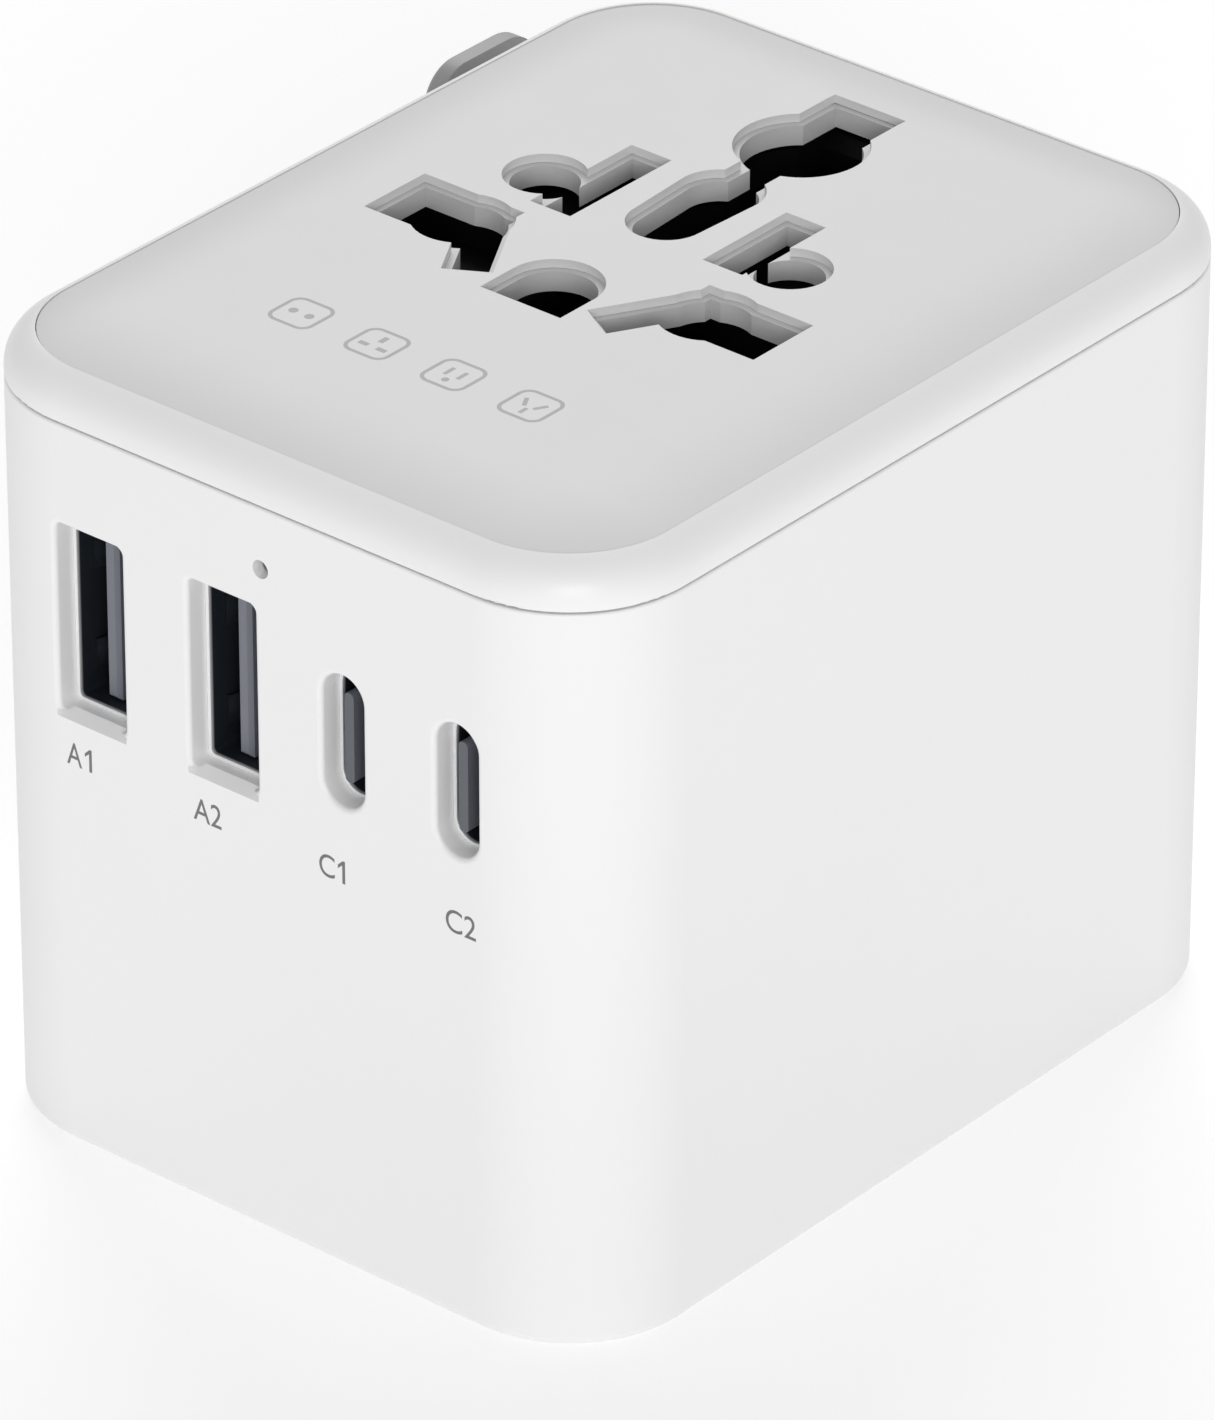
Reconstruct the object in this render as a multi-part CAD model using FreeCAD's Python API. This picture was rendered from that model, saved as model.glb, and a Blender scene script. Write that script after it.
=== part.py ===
"""Universal travel adapter: a pocket-sized white block with multi-standard sockets on top,
retractable plug pins underneath, four USB ports in front and a selector knob on the left.

Units are millimetres.  +Z is up, +Y goes from the USB face to the back, +X is to the right
when facing the USB ports.  The origin is the centre of the plug face that it stands on.
"""
import FreeCAD, Part
import math
import os

V = FreeCAD.Vector

# ---- outside of the casing -------------------------------------------------------------
BODY_W, BODY_D, BODY_R = 49.6, 63.6, 8.5
WALL = 1.65
SEAM_Z = 49.7
SEAM_GAP = 0.14
SEAM_ROUND = 0.15
RIM_Z = 52.5
RIM_ROUND, RIM_TOP_Z = 2.66, 52.66
FOOT_ROUND = 0.6
CAVITY_W, CAVITY_D, CAVITY_R = BODY_W - 2 * WALL, BODY_D - 2 * WALL, BODY_R - WALL
WALL_X, FACE_Y = BODY_W / 2, BODY_D / 2
CAVITY_X, CAVITY_Y = CAVITY_W / 2, CAVITY_D / 2

# ---- grey socket plate -----------------------------------------------------------------
INLAY_W, INLAY_D, INLAY_R = 46.1, 60.0, 7.1
CROWN = 1.12
CROWN_W = 6.6
SKIN = 0.6
INLAY_GAP = 0.06
COVER_FLOOR_Z = 51.2
LINER_INSET = 0.45
POCKET_X, POCKET_Y0, POCKET_Y1, POCKET_Z = 18.0, -14.5, 27.0, 51.7

# ---- socket pattern, measured from the line between the two British live holes ----------
PATTERN_Y = -2.45
UK_X0, UK_X1, UK_HALF_Y = 7.17, 15.06, 2.78
INDIA_X, INDIA_Y, INDIA_R = 9.55, -0.15, 3.2
AU_X, AU_Y, AU_W, AU_L, AU_ANGLE = 6.9, -1.77, 3.15, 7.6, 30.0
EU_X, EU_Y, EU_R = 9.5, 7.41, 2.62
NEUTRAL_BLADE_HOLE = (-7.93, -4.78, 4.15, 13.65)
LINE_BLADE_HOLE = (4.81, 7.85, 4.97, 12.85)
US_EARTH_R, US_EARTH_Y, US_EARTH_FLAT_Y = 3.09, -2.99, -6.08
MID_R0, MID_Y0, MID_R1, MID_Y1, MID_NECK = 2.5, 7.41, 2.8, 12.45, 1.54
UK_EARTH_HALF_X, UK_EARTH_Y0, UK_EARTH_Y1 = 2.76, 17.6, 26.82
BIG_R, BIG_Y = 4.22, 20.2

# ---- safety shutters and their frame ----------------------------------------------------
FRAME_Z0, FRAME_Z1 = 48.9, 51.12
SHUTTER_Z0, SHUTTER_Z1, SHUTTER_LOW_Z = 49.1, 50.95, 49.35
FRONT_SHUTTER_TRAVEL = 9.4
SIDE_SHUTTER_TRAVEL = 7.4
FRONT_SHUTTER = (3.35, 15.4, -6.4, 3.45)
FRONT_BRIDGE = (-10.5, -6.4)
SIDE_SHUTTER = (4.55, 12.4, 3.95, 13.95)
SHUTTER_PLAY = 0.2
SPRING_R, SPRING_WIRE_R = 0.66, 0.13
FRONT_SPRING_X, FRONT_SPRING_END = 9.0, -25.9
SIDE_SPRING_Y, SIDE_SPRING_SEAT = 12.5, 9.4

# ---- plug pins, as they stand when everything is drawn in --------------------------------
UK_TRAVEL = 23.0
DECK_Z0, DECK_Z1 = 25.5, 29.5
UK_PIN_X, UK_PIN_Y, UK_PIN_LONG, UK_PIN_THICK, UK_PIN_TIP = 11.11, -0.2, 6.35, 3.97, 5.3
PIN_BEVEL, BLADE_BEVEL, BLADE_HOLE_R, BLADE_HOLE_Z = 0.9, 0.5, 1.55, 5.0
UK_EARTH_PIN_Y, UK_EARTH_PIN_LONG, UK_EARTH_PIN_TIP = 22.03, 7.94, 0.3
EU_PIN_X, EU_PIN_Y, EU_PIN_R, EU_PIN_TIP = 9.5, 10.0, 2.0, 1.0
BLADE_PIVOT_X, BLADE_PIVOT_Y, BLADE_OFFSET = 6.35, -9.6, 1.0
BLADE_LONG, BLADE_THICK, BLADE_TIP = 6.35, 1.52, 1.0
ROTOR_R, ROTOR_Z0, ROTOR_FIT = 4.4, 18.25, 0.05
ROTOR_HEAD_R, ROTOR_HEAD_Z = 5.1, 30.3
SLEEVE = 0.4
UK_SLEEVE_Z0, EU_SLEEVE_Z0, EU_SLEEVE_R = 14.3, 10.0, 1.8
PIN_TOP_Z = 29.0
WIPER_Z = 25.6

# ---- selector knob and its lanes ----------------------------------------------------------
LANES_Y = (20.8, 10.4, 0.0)
LANE_W = 4.8
STEM_W, STEM_Z0, STEM_Z1 = 4.3, 40.5, 45.5
KNOB_X0, KNOB_T, KNOB_W, KNOB_Z0, KNOB_Z1, KNOB_R = -28.95, 1.3, 9.6, 37.9, 49.9, 2.8
NECK_L, NECK_W, NECK_H, NECK_R = 2.4, 6.4, 7.0, 1.5
GROOVE_R, GROOVE_STEPS = 0.28, (-2.4, -1.2, 0.0, 1.2, 2.4)
CATCH_X0, CATCH_X1, CATCH_HALF_Z = -21.3, -19.4, 1.0
GUIDE_X0, GUIDE_X1, GUIDE_HALF_Y, GUIDE_Z0, GUIDE_Z1 = -22.5, -21.4, 4.4, 13.2, 47.2
STEM_Z = (STEM_Z0 + STEM_Z1) / 2

# ---- USB face -----------------------------------------------------------------------------
USB_A_X, USB_A_Z = (-13.65, -3.2), 36.55
USB_A_W, USB_A_H, USB_A_R = 5.3, 12.7, 0.5
USB_C_X, USB_C_Z = (6.12, 14.83), 36.28
USB_C_W, USB_C_H = 3.2, 8.85
PORT_ROUND = 0.35
FLARE_Y, FLARE_Z, FLARE_X = 0.85, 0.45, 0.12
METAL = 0.25
TONGUE_A_X, TONGUE_A_Y0, TONGUE_A_Z = (-1.05, 0.05), -29.3, (30.55, 41.75)
TONGUE_C_Y0, TONGUE_C_T, TONGUE_C_H = -31.1, 0.7, 6.0
BOARD_Y0, BOARD_T = -16.6, 1.6
LED_Z, LED_HOLE_R, LIGHT_PIPE_Y0 = 45.6, 0.6, -31.0

# ---- inside ----------------------------------------------------------------------------
PLUG_PLATE_T, PLUG_PLATE_GAP, PIN_PLAY = 2.0, 0.1, 0.3
SCREW_X, SCREW_Y, SCREW_HEAD_R, SCREW_R, BOSS_R, BOSS_TOP = 19.0, 26.4, 1.6, 0.9, 2.1, 14.0
BLOCK_X, BLOCK_Y0, BLOCK_Y1, BLOCK_Z0, BLOCK_Z1 = 16.2, -8.0, 28.6, 31.0, 48.7
BLOCK_FLOOR = 1.5
BRASS = 0.5
CONTACT_FOOT_Z, CONTACT_TOP = BLOCK_Z0 + BLOCK_FLOOR + 0.3, 45.0
RAIL_W, RAIL_T, RAIL_Z0 = 4.0, 0.7, 3.0
USB_BOARD_X, USB_BOARD_Z = 21.0, (21.9, 47.4)
POWER_BOARD_X, POWER_BOARD_Y, POWER_BOARD_Z = 18.2, (-29.6, -17.0), 20.0
HANG_Z = POWER_BOARD_Z - 0.05
CAN_R, CAN_X, CAN_Y, CAN_H = 4.0, 13.1, -22.6, 13.5
FUSE_X, FUSE_Z, FUSE_R, FUSE_CAP_R = 19.8, 38.0, 2.35, 2.6
FUSE_CAPS_Y, FUSE_CAP_L = (-1.0, 14.0), 5.0


# ---- small tools ---------------------------------------------------------------------------
def box(x0, x1, y0, y1, z0, z1):
    return Part.makeBox(x1 - x0, y1 - y0, z1 - z0, V(x0, y0, z0))


def upright_box(x, y, long_x, long_y, z0, z1):
    return box(x - long_x / 2, x + long_x / 2, y - long_y / 2, y + long_y / 2, z0, z1)


def rod(r, x, y, z0, z1):
    return Part.makeCylinder(r, z1 - z0, V(x, y, z0))


def rod_y(r, x, z, y0, y1):
    return Part.makeCylinder(r, y1 - y0, V(x, y0, z), V(0, 1, 0))


def prism(points, z0, z1):
    wire = Part.makePolygon([V(x, y, z0) for x, y in points + points[:1]])
    return Part.Face(wire).extrude(V(0, 0, z1 - z0))


def fuse(shapes):
    return shapes[0].multiFuse(shapes[1:]).removeSplitter() if len(shapes) > 1 else shapes[0]


def edges_along(shape, direction):
    return [e for e in shape.Edges
            if isinstance(e.Curve, Part.Line) and abs(e.tangentAt(e.FirstParameter).dot(direction)) > 0.999]


def edges_at(shape, axis, value):
    """Edges that lie wholly in the plane where the given coordinate has this value."""
    low, high = axis + "Min", axis + "Max"
    return [e for e in shape.Edges
            if abs(getattr(e.BoundBox, low) - value) < 1e-4 and abs(getattr(e.BoundBox, high) - value) < 1e-4]


def rounded(w, d, r, z0, z1, x=0.0, y=0.0):
    block = upright_box(x, y, w, d, z0, z1)
    return block.makeFillet(r, edges_along(block, V(0, 0, 1)))


def rounded_y(x, z, w, h, r, y0, y1):
    """A bar along Y with a rounded-rectangle section."""
    block = box(x - w / 2, x + w / 2, y0, y1, z - h / 2, z + h / 2)
    return block.makeFillet(r, edges_along(block, V(0, 1, 0)))


def moved(shape, x=0.0, y=0.0, z=0.0):
    copy = shape.copy()
    copy.translate(V(x, y, z))
    return copy


def mirrored(shape):
    return shape.mirror(V(0, 0, 0), V(1, 0, 0))


def coil(start, axis, length, turns):
    """A spring of round wire, wound about an axis from the start point."""
    helix = Part.makeHelix(length / turns, length, SPRING_R)
    section = Part.Wire(Part.Circle(V(SPRING_R, 0, 0), V(0, 1, 0), SPRING_WIRE_R).toShape())
    spring = Part.Wire(helix.Edges).makePipeShell([section], True, True)
    spring.rotate(V(0, 0, 0), V(0, 0, 1).cross(axis), 90)
    spring.translate(start)
    return spring


# ---- crowned surface and socket pattern ------------------------------------------------------
def crowned_block(w, d, r, z0, edge_z):
    """A rounded block whose top rises in an arc from its edge to a flat middle."""
    arc_r = (CROWN_W ** 2 + CROWN ** 2) / (2 * CROWN)
    lean = math.asin(CROWN_W / arc_r) / 2
    top_z = edge_z + CROWN
    arc_mid = (CROWN_W - arc_r * math.sin(lean), top_z - arc_r * (1 - math.cos(lean)))

    def profile(origin, inward):
        def at(u, z):
            return V(origin.x + inward.x * u, origin.y + inward.y * u, z)
        arc = Part.Arc(at(0, edge_z), at(*arc_mid), at(CROWN_W, top_z)).toShape()
        rest = Part.makePolygon([at(CROWN_W, top_z), at(r, top_z), at(r, z0), at(0, z0), at(0, edge_z)])
        return Part.Face(Part.Wire([arc] + rest.Edges))

    hx, hy = w / 2, d / 2
    pieces = [box(r - hx, hx - r, r - hy, hy - r, z0, top_z)]
    for side in (-1, 1):
        pieces.append(profile(V(side * hx, r - hy, 0), V(-side, 0, 0)).extrude(V(0, d - 2 * r, 0)))
        pieces.append(profile(V(r - hx, side * hy, 0), V(0, -side, 0)).extrude(V(w - 2 * r, 0, 0)))
    for sx, sy in ((1, 1), (-1, 1), (-1, -1), (1, -1)):
        centre = V(sx * (hx - r), sy * (hy - r), 0)
        face = profile(V(sx * hx, centre.y, 0), V(-sx, 0, 0))
        pieces.append(face.revolve(centre, V(0, 0, sx * sy), 90))
    return fuse(pieces)


def slanted(side, grow, z0, z1):
    slot = upright_box(0, 0, AU_W + 2 * grow, AU_L + 2 * grow, z0, z1)
    slot.rotate(V(0, 0, 0), V(0, 0, 1), -side * AU_ANGLE)
    return moved(slot, side * AU_X, AU_Y)


def live_holes(side, grow, z0, z1):
    """The holes of one live side: British, Indian, Australian, European and American."""
    x0, x1, y0, y1 = LINE_BLADE_HOLE if side > 0 else NEUTRAL_BLADE_HOLE
    british = box(UK_X0 - grow, UK_X1 + grow, -UK_HALF_Y - grow, UK_HALF_Y + grow, z0, z1)
    front = fuse([
        british if side > 0 else mirrored(british),
        rod(INDIA_R + grow, side * INDIA_X, INDIA_Y, z0, z1),
        slanted(side, grow, z0, z1),
    ])
    rear = fuse([
        rod(EU_R + grow, side * EU_X, EU_Y, z0, z1),
        box(x0 - grow, x1 + grow, y0 - grow, y1 + grow, z0, z1),
    ])
    return [front, rear]


def us_earth_hole(grow, z0, z1):
    r = US_EARTH_R + grow
    return fuse([rod(r, 0, US_EARTH_Y, z0, z1), box(-r, r, US_EARTH_FLAT_Y - grow, US_EARTH_Y, z0, z1)])


def middle_holes(grow, z0, z1):
    """The long middle slot, its neck, the large round hole and the British earth slot."""
    taper = [(-MID_R0 - grow, MID_Y0), (MID_R0 + grow, MID_Y0),
             (MID_R1 + grow, MID_Y1), (-MID_R1 - grow, MID_Y1)]
    return fuse([
        rod(MID_R0 + grow, 0, MID_Y0, z0, z1),
        prism(taper, z0, z1),
        rod(MID_R1 + grow, 0, MID_Y1, z0, z1),
        box(-MID_NECK - grow, MID_NECK + grow, MID_Y1, BIG_Y, z0, z1),
        rod(BIG_R + grow, 0, BIG_Y, z0, z1),
        box(-UK_EARTH_HALF_X - grow, UK_EARTH_HALF_X + grow, UK_EARTH_Y0, UK_EARTH_Y1 + grow, z0, z1),
    ])


def socket_holes(grow, z0, z1):
    holes = live_holes(-1, grow, z0, z1) + live_holes(1, grow, z0, z1)
    holes += [us_earth_hole(grow, z0, z1), middle_holes(grow, z0, z1)]
    return [moved(hole, y=PATTERN_Y) for hole in holes]


# ---- casing ----------------------------------------------------------------------------------
def knob_lanes():
    """One channel along the top, with a lane running down for each plug."""
    x0, x1 = -WALL_X - 1, -CAVITY_X + 1
    top = box(x0, x1, LANES_Y[-1] - LANE_W / 2, LANES_Y[0] + LANE_W / 2, STEM_Z0 - 0.3, STEM_Z1 + 0.3)
    lanes = [box(x0, x1, y - LANE_W / 2, y + LANE_W / 2, STEM_Z0 - UK_TRAVEL - 0.3, STEM_Z1)
             for y in LANES_Y]
    comb = fuse([top] + lanes)
    return comb.makeFillet(0.8, edges_along(comb, V(1, 0, 0)))


def port_cutters():
    y0, y1 = -FACE_Y - 1, -CAVITY_Y + 1
    cutters = [rounded_y(x, USB_A_Z, USB_A_W, USB_A_H, USB_A_R, y0, y1) for x in USB_A_X]
    cutters += [rounded_y(x, USB_C_Z, USB_C_W, USB_C_H, USB_C_W / 2 - 0.01, y0, y1) for x in USB_C_X]
    return cutters


def port_flare(x):
    """Wedge that eases the lower edge of a USB-A opening."""
    y, z = -FACE_Y, USB_A_Z - USB_A_H / 2
    points = [V(0, y - 1, z), V(0, y - 1, z - FLARE_Z), V(0, y, z - FLARE_Z), V(0, y + FLARE_Y, z)]
    wedge = Part.Face(Part.makePolygon(points + points[:1])).extrude(V(USB_A_W + 2 * FLARE_X, 0, 0))
    return moved(wedge, x - USB_A_W / 2 - FLARE_X)


def on_usb_face(edge, x, z, w, h):
    b = edge.BoundBox
    inside = x - w / 2 - 0.1 < b.XMin and b.XMax < x + w / 2 + 0.1
    return inside and z - h / 2 - 0.1 < b.ZMin and b.ZMax < z + h / 2 + 0.1


def body_shell():
    """White outer wall with the ports, the knob's lanes, guide ribs and screw bosses."""
    outer = rounded(BODY_W, BODY_D, BODY_R, 0, SEAM_Z - SEAM_GAP / 2)
    outer = outer.makeFillet(FOOT_ROUND, edges_at(outer, "Z", 0))
    outer = outer.makeFillet(SEAM_ROUND, edges_at(outer, "Z", SEAM_Z - SEAM_GAP / 2))
    hollow = rounded(CAVITY_W, CAVITY_D, CAVITY_R, -1, SEAM_Z + 1)
    shell = outer.cut(hollow).cut(Part.makeCompound(port_cutters()))
    ports = [(x, USB_A_Z, USB_A_W, USB_A_H) for x in USB_A_X]
    ports += [(x, USB_C_Z, USB_C_W, USB_C_H) for x in USB_C_X]
    mouths = [e for e in edges_at(shell, "Y", -FACE_Y) if any(on_usb_face(e, *port) for port in ports)]
    shell = shell.makeFillet(PORT_ROUND, mouths)
    shell = shell.cut(Part.makeCompound([port_flare(x) for x in USB_A_X]))
    shell = shell.cut(rod_y(LED_HOLE_R, 0, LED_Z, -FACE_Y - 1, -CAVITY_Y + 1)).cut(knob_lanes())
    ribs = [box(-CAVITY_X - 0.5, GUIDE_X1 + 0.2, -CAVITY_Y + CAVITY_R, CAVITY_Y - CAVITY_R, z0, z1)
            for z0, z1 in ((GUIDE_Z0 - 1.2, GUIDE_Z0 - 0.2), (GUIDE_Z1 + 0.15, GUIDE_Z1 + 0.6))]
    bosses = [rod(BOSS_R, sx * SCREW_X, sy * SCREW_Y, PLUG_PLATE_T + 0.1, BOSS_TOP)
              for sx in (-1, 1) for sy in (-1, 1)]
    webs = [box(min(sx * SCREW_X, sx * (CAVITY_X + 0.3)), max(sx * SCREW_X, sx * (CAVITY_X + 0.3)),
                sy * SCREW_Y - 0.6, sy * SCREW_Y + 0.6, PLUG_PLATE_T + 0.1, BOSS_TOP)
            for sx in (-1, 1) for sy in (-1, 1)]
    pilots = [rod(SCREW_R, sx * SCREW_X, sy * SCREW_Y, 0, BOSS_TOP - 2) for sx in (-1, 1) for sy in (-1, 1)]
    webs = [web.common(rounded(BODY_W - 1, BODY_D - 1, BODY_R - 0.5, 0, SEAM_Z)) for web in webs]
    return fuse([shell] + ribs + bosses + webs).cut(Part.makeCompound(pilots))


def top_cover():
    """White cover: a soft rim, and a crowned floor under the grey plate."""
    ring = rounded(BODY_W, BODY_D, BODY_R, SEAM_Z + SEAM_GAP / 2, RIM_TOP_Z)
    ring = ring.makeFillet(SEAM_ROUND, edges_at(ring, "Z", SEAM_Z + SEAM_GAP / 2))
    ring = ring.makeFillet(RIM_ROUND - SEAM_ROUND, edges_at(ring, "Z", RIM_TOP_Z))
    recess = rounded(INLAY_W, INLAY_D, INLAY_R, RIM_Z - SKIN, RIM_TOP_Z + 1)
    floor = crowned_block(INLAY_W, INLAY_D, INLAY_R, RIM_Z - SKIN - 0.3, RIM_Z - SKIN)
    skirt = rounded(CAVITY_W - 0.2, CAVITY_D - 0.2, CAVITY_R - 0.1, SEAM_Z - 1.75, SEAM_Z + SEAM_GAP)
    hollow = rounded(CAVITY_W - 2.2, CAVITY_D - 2.2, CAVITY_R - 1.1, SEAM_Z - 3, COVER_FLOOR_Z)
    cover = ring.cut(recess).fuse(floor).fuse(skirt).cut(hollow).removeSplitter()
    pocket = box(-POCKET_X, POCKET_X, POCKET_Y0, POCKET_Y1, SEAM_Z, POCKET_Z)
    return cover.cut(pocket).cut(Part.makeCompound(socket_holes(-LINER_INSET, SEAM_Z - 1, RIM_Z + 3)))


def socket_plate():
    """Thin crowned skin that lies in the cover's recess."""
    w, d, r = INLAY_W - 2 * INLAY_GAP, INLAY_D - 2 * INLAY_GAP, INLAY_R - INLAY_GAP
    skin = crowned_block(w, d, r, RIM_Z - SKIN - 2, RIM_Z)
    under = crowned_block(INLAY_W + 1, INLAY_D + 1, INLAY_R + 0.5, RIM_Z - SKIN - 3, RIM_Z - SKIN + 0.02)
    return skin.cut(under).cut(Part.makeCompound(socket_holes(0.0, SEAM_Z, RIM_Z + 3)))


def plug_plate():
    """Flat plate on the plug side, with a hole for every pin."""
    w, d = CAVITY_W - 2 * PLUG_PLATE_GAP, CAVITY_D - 2 * PLUG_PLATE_GAP
    plate = rounded(w, d, CAVITY_R - PLUG_PLATE_GAP, 0, PLUG_PLATE_T)
    z0, z1 = -1, PLUG_PLATE_T + 1
    earth_long = UK_EARTH_PIN_LONG + 2 * PIN_PLAY
    holes = [upright_box(0, UK_EARTH_PIN_Y, UK_PIN_THICK + 2 * PIN_PLAY, earth_long, z0, z1)]
    for side in (-1, 1):
        holes.append(upright_box(side * UK_PIN_X, UK_PIN_Y, UK_PIN_LONG + 2 * PIN_PLAY,
                                 UK_PIN_THICK + 2 * PIN_PLAY, z0, z1))
        holes.append(rod(EU_PIN_R + PIN_PLAY, side * EU_PIN_X, EU_PIN_Y, z0, z1))
        holes.append(rod(ROTOR_R + PIN_PLAY, side * BLADE_PIVOT_X, BLADE_PIVOT_Y, z0, z1))
        for y in (-SCREW_Y, SCREW_Y):
            holes.append(rod(SCREW_R + 0.2, side * SCREW_X, y, z0, z1))
            holes.append(rod(SCREW_HEAD_R + 0.2, side * SCREW_X, y, z0, 1.1))
    return plate.cut(Part.makeCompound(holes))


def casing_screws():
    screws = []
    for x in (-SCREW_X, SCREW_X):
        for y in (-SCREW_Y, SCREW_Y):
            screw = rod(SCREW_HEAD_R, x, y, 0.2, 1.1).fuse(rod(SCREW_R - 0.05, x, y, 1.1, 9.0))
            cross = [upright_box(x, y, 1.9, 0.4, 0, 0.65), upright_box(x, y, 0.4, 1.9, 0, 0.65)]
            screws.append(screw.cut(Part.makeCompound(cross)).removeSplitter())
    return Part.makeCompound(screws)


# ---- shutters ------------------------------------------------------------------------------
def shutter_frame():
    """Black frame under the cover that guides the three shutters."""
    frame = rounded(CAVITY_W - 2.6, CAVITY_D - 2.6, CAVITY_R - 1.3, FRAME_Z0, FRAME_Z1)
    play, z0, z1 = SHUTTER_PLAY, FRAME_Z0 - 1, FRAME_Z1 + 1
    x0, x1, y0, y1 = FRONT_SHUTTER
    front = box(-x1 - play, x1 + play, FRONT_BRIDGE[0] - FRONT_SHUTTER_TRAVEL - play, y1 + play, z0, z1)
    cuts = [front, middle_holes(0.15, z0, z1)]
    sx0, sx1, sy0, sy1 = SIDE_SHUTTER
    spring_r = SPRING_R + SPRING_WIRE_R + 0.2
    for side in (-1, 1):
        bay = box(sx0 - play, sx1 + SIDE_SHUTTER_TRAVEL + play, sy0 - play, sy1 + play, z0, z1)
        groove = box(sx1, SIDE_SHUTTER_TRAVEL + sx1 + 1.6,
                     SIDE_SPRING_Y - spring_r, SIDE_SPRING_Y + spring_r, z0, z1)
        cuts += [bay, groove] if side > 0 else [mirrored(bay), mirrored(groove)]
        cuts.append(box(side * FRONT_SPRING_X - spring_r, side * FRONT_SPRING_X + spring_r,
                        FRONT_SPRING_END, FRONT_BRIDGE[0], z0, z1))
    frame = frame.cut(Part.makeCompound([moved(c, y=PATTERN_Y) for c in cuts]))
    back_y = UK_EARTH_Y1 + 0.15 + PATTERN_Y
    ramp = Part.Face(Part.makePolygon([V(-3.2, back_y + 0.2, FRAME_Z1), V(-3.2, back_y + 0.2, FRAME_Z0),
                                       V(-3.2, back_y - 0.9, FRAME_Z0), V(-3.2, back_y - 0.9, FRAME_Z1 - 0.9),
                                       V(-3.2, back_y - 0.15, FRAME_Z1 - 0.05), V(-3.2, back_y + 0.2, FRAME_Z1)]))
    return fuse([frame, ramp.extrude(V(6.4, 0, 0))])


def front_shutter():
    """Closes the British and Australian live holes; pins push it forward down its slope."""
    x0, x1, y0, y1 = FRONT_SHUTTER
    section = Part.Face(Part.makePolygon([V(x0, y, z) for y, z in (
        (y0, SHUTTER_Z0), (y1, SHUTTER_Z0), (y1, SHUTTER_LOW_Z), (-2.4, SHUTTER_Z1), (y0, SHUTTER_Z1),
        (y0, SHUTTER_Z0))]))
    wing = section.extrude(V(x1 - x0, 0, 0))
    bridge = box(-x1, x1, FRONT_BRIDGE[0], FRONT_BRIDGE[1], SHUTTER_Z0, SHUTTER_Z1)
    return moved(fuse([wing, mirrored(wing), bridge]), y=PATTERN_Y)


def side_shutter():
    """Closes one European and one American live hole; pins push it outward down its slope."""
    x0, x1, y0, y1 = SIDE_SHUTTER
    section = Part.Face(Part.makePolygon([V(x, y0, z) for x, z in (
        (x0, SHUTTER_Z0), (x0, SHUTTER_LOW_Z), (10.6, SHUTTER_Z1), (x1, SHUTTER_Z1), (x1, SHUTTER_Z0),
        (x0, SHUTTER_Z0))]))
    plate = section.extrude(V(0, y1 - y0, 0))
    spring_r = SPRING_R + SPRING_WIRE_R + 0.15
    seat = box(SIDE_SPRING_SEAT, x1 + 1, SIDE_SPRING_Y - spring_r, SIDE_SPRING_Y + spring_r,
               SHUTTER_Z0 - 1, SHUTTER_Z1 + 1)
    return moved(plate.cut(seat), y=PATTERN_Y)


def front_shutter_springs():
    z = (FRAME_Z0 + COVER_FLOOR_Z) / 2
    length = FRONT_BRIDGE[0] - FRONT_SPRING_END - 0.6
    return Part.makeCompound([coil(V(x, FRONT_SPRING_END + PATTERN_Y + 0.3, z), V(0, 1, 0), length, 10)
                              for x in (-FRONT_SPRING_X, FRONT_SPRING_X)])


def side_shutter_spring():
    z = (FRAME_Z0 + COVER_FLOOR_Z) / 2
    end = SIDE_SHUTTER[1] + SIDE_SHUTTER_TRAVEL + 1.3
    start = SIDE_SPRING_SEAT + 0.3
    return coil(V(start, SIDE_SPRING_Y + PATTERN_Y, z), V(1, 0, 0), end - start, 8)


# ---- socket contacts ---------------------------------------------------------------------
def contact_block():
    """Black insulating block with a well for each pole."""
    y0, y1 = BLOCK_Y0 + PATTERN_Y, BLOCK_Y1 + PATTERN_Y
    block = box(-BLOCK_X, BLOCK_X, y0, y1, BLOCK_Z0, BLOCK_Z1)
    z0, z1 = BLOCK_Z0 + BLOCK_FLOOR, BLOCK_Z1 + 1
    wells = [box(-3.35, 3.35, -6.5, 16.5, z0, z1), box(-4.7, 4.7, 15.5, 27.4, z0, z1)]
    slots = [box(-2.2, 2.2, 17.0, 18.1, BLOCK_Z0 - 1, z1)]
    for side in (-1, 1):
        well = fuse([box(4.15, 15.5, -6.5, 14.4, z0, z1), box(5.5, 15.5, 14.3, 27.4, BLOCK_Z0 + 9, z1)])
        slot = box(8.8, 13.2, 6.45, 7.55, BLOCK_Z0 - 1, z1)
        wells.append(well if side > 0 else mirrored(well))
        slots.append(slot if side > 0 else mirrored(slot))
    return block.cut(Part.makeCompound([moved(s, y=PATTERN_Y) for s in wells + slots]))


def live_contact():
    """One stamped brass part that grips the live pin of every standard."""
    z0 = CONTACT_FOOT_Z
    plan = [(4.6, 15.1, -6.1, 14.0, z0, z0 + BRASS)]
    leaves = [(7.6, 14.8, -3.4, -3.4 + BRASS, z0, CONTACT_TOP), (7.6, 14.8, 3.0, 3.0 + BRASS, z0, CONTACT_TOP),
              (12.2, 12.2 + BRASS, 4.6, 10.2, z0, CONTACT_TOP), (4.6, 4.6 + BRASS, 5.2, 12.6, z0, CONTACT_TOP),
              (8.2, 8.2 + BRASS, 10.4, 13.0, z0, CONTACT_TOP)]
    return moved(fuse([box(*b) for b in plan + leaves]), y=PATTERN_Y)


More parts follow.
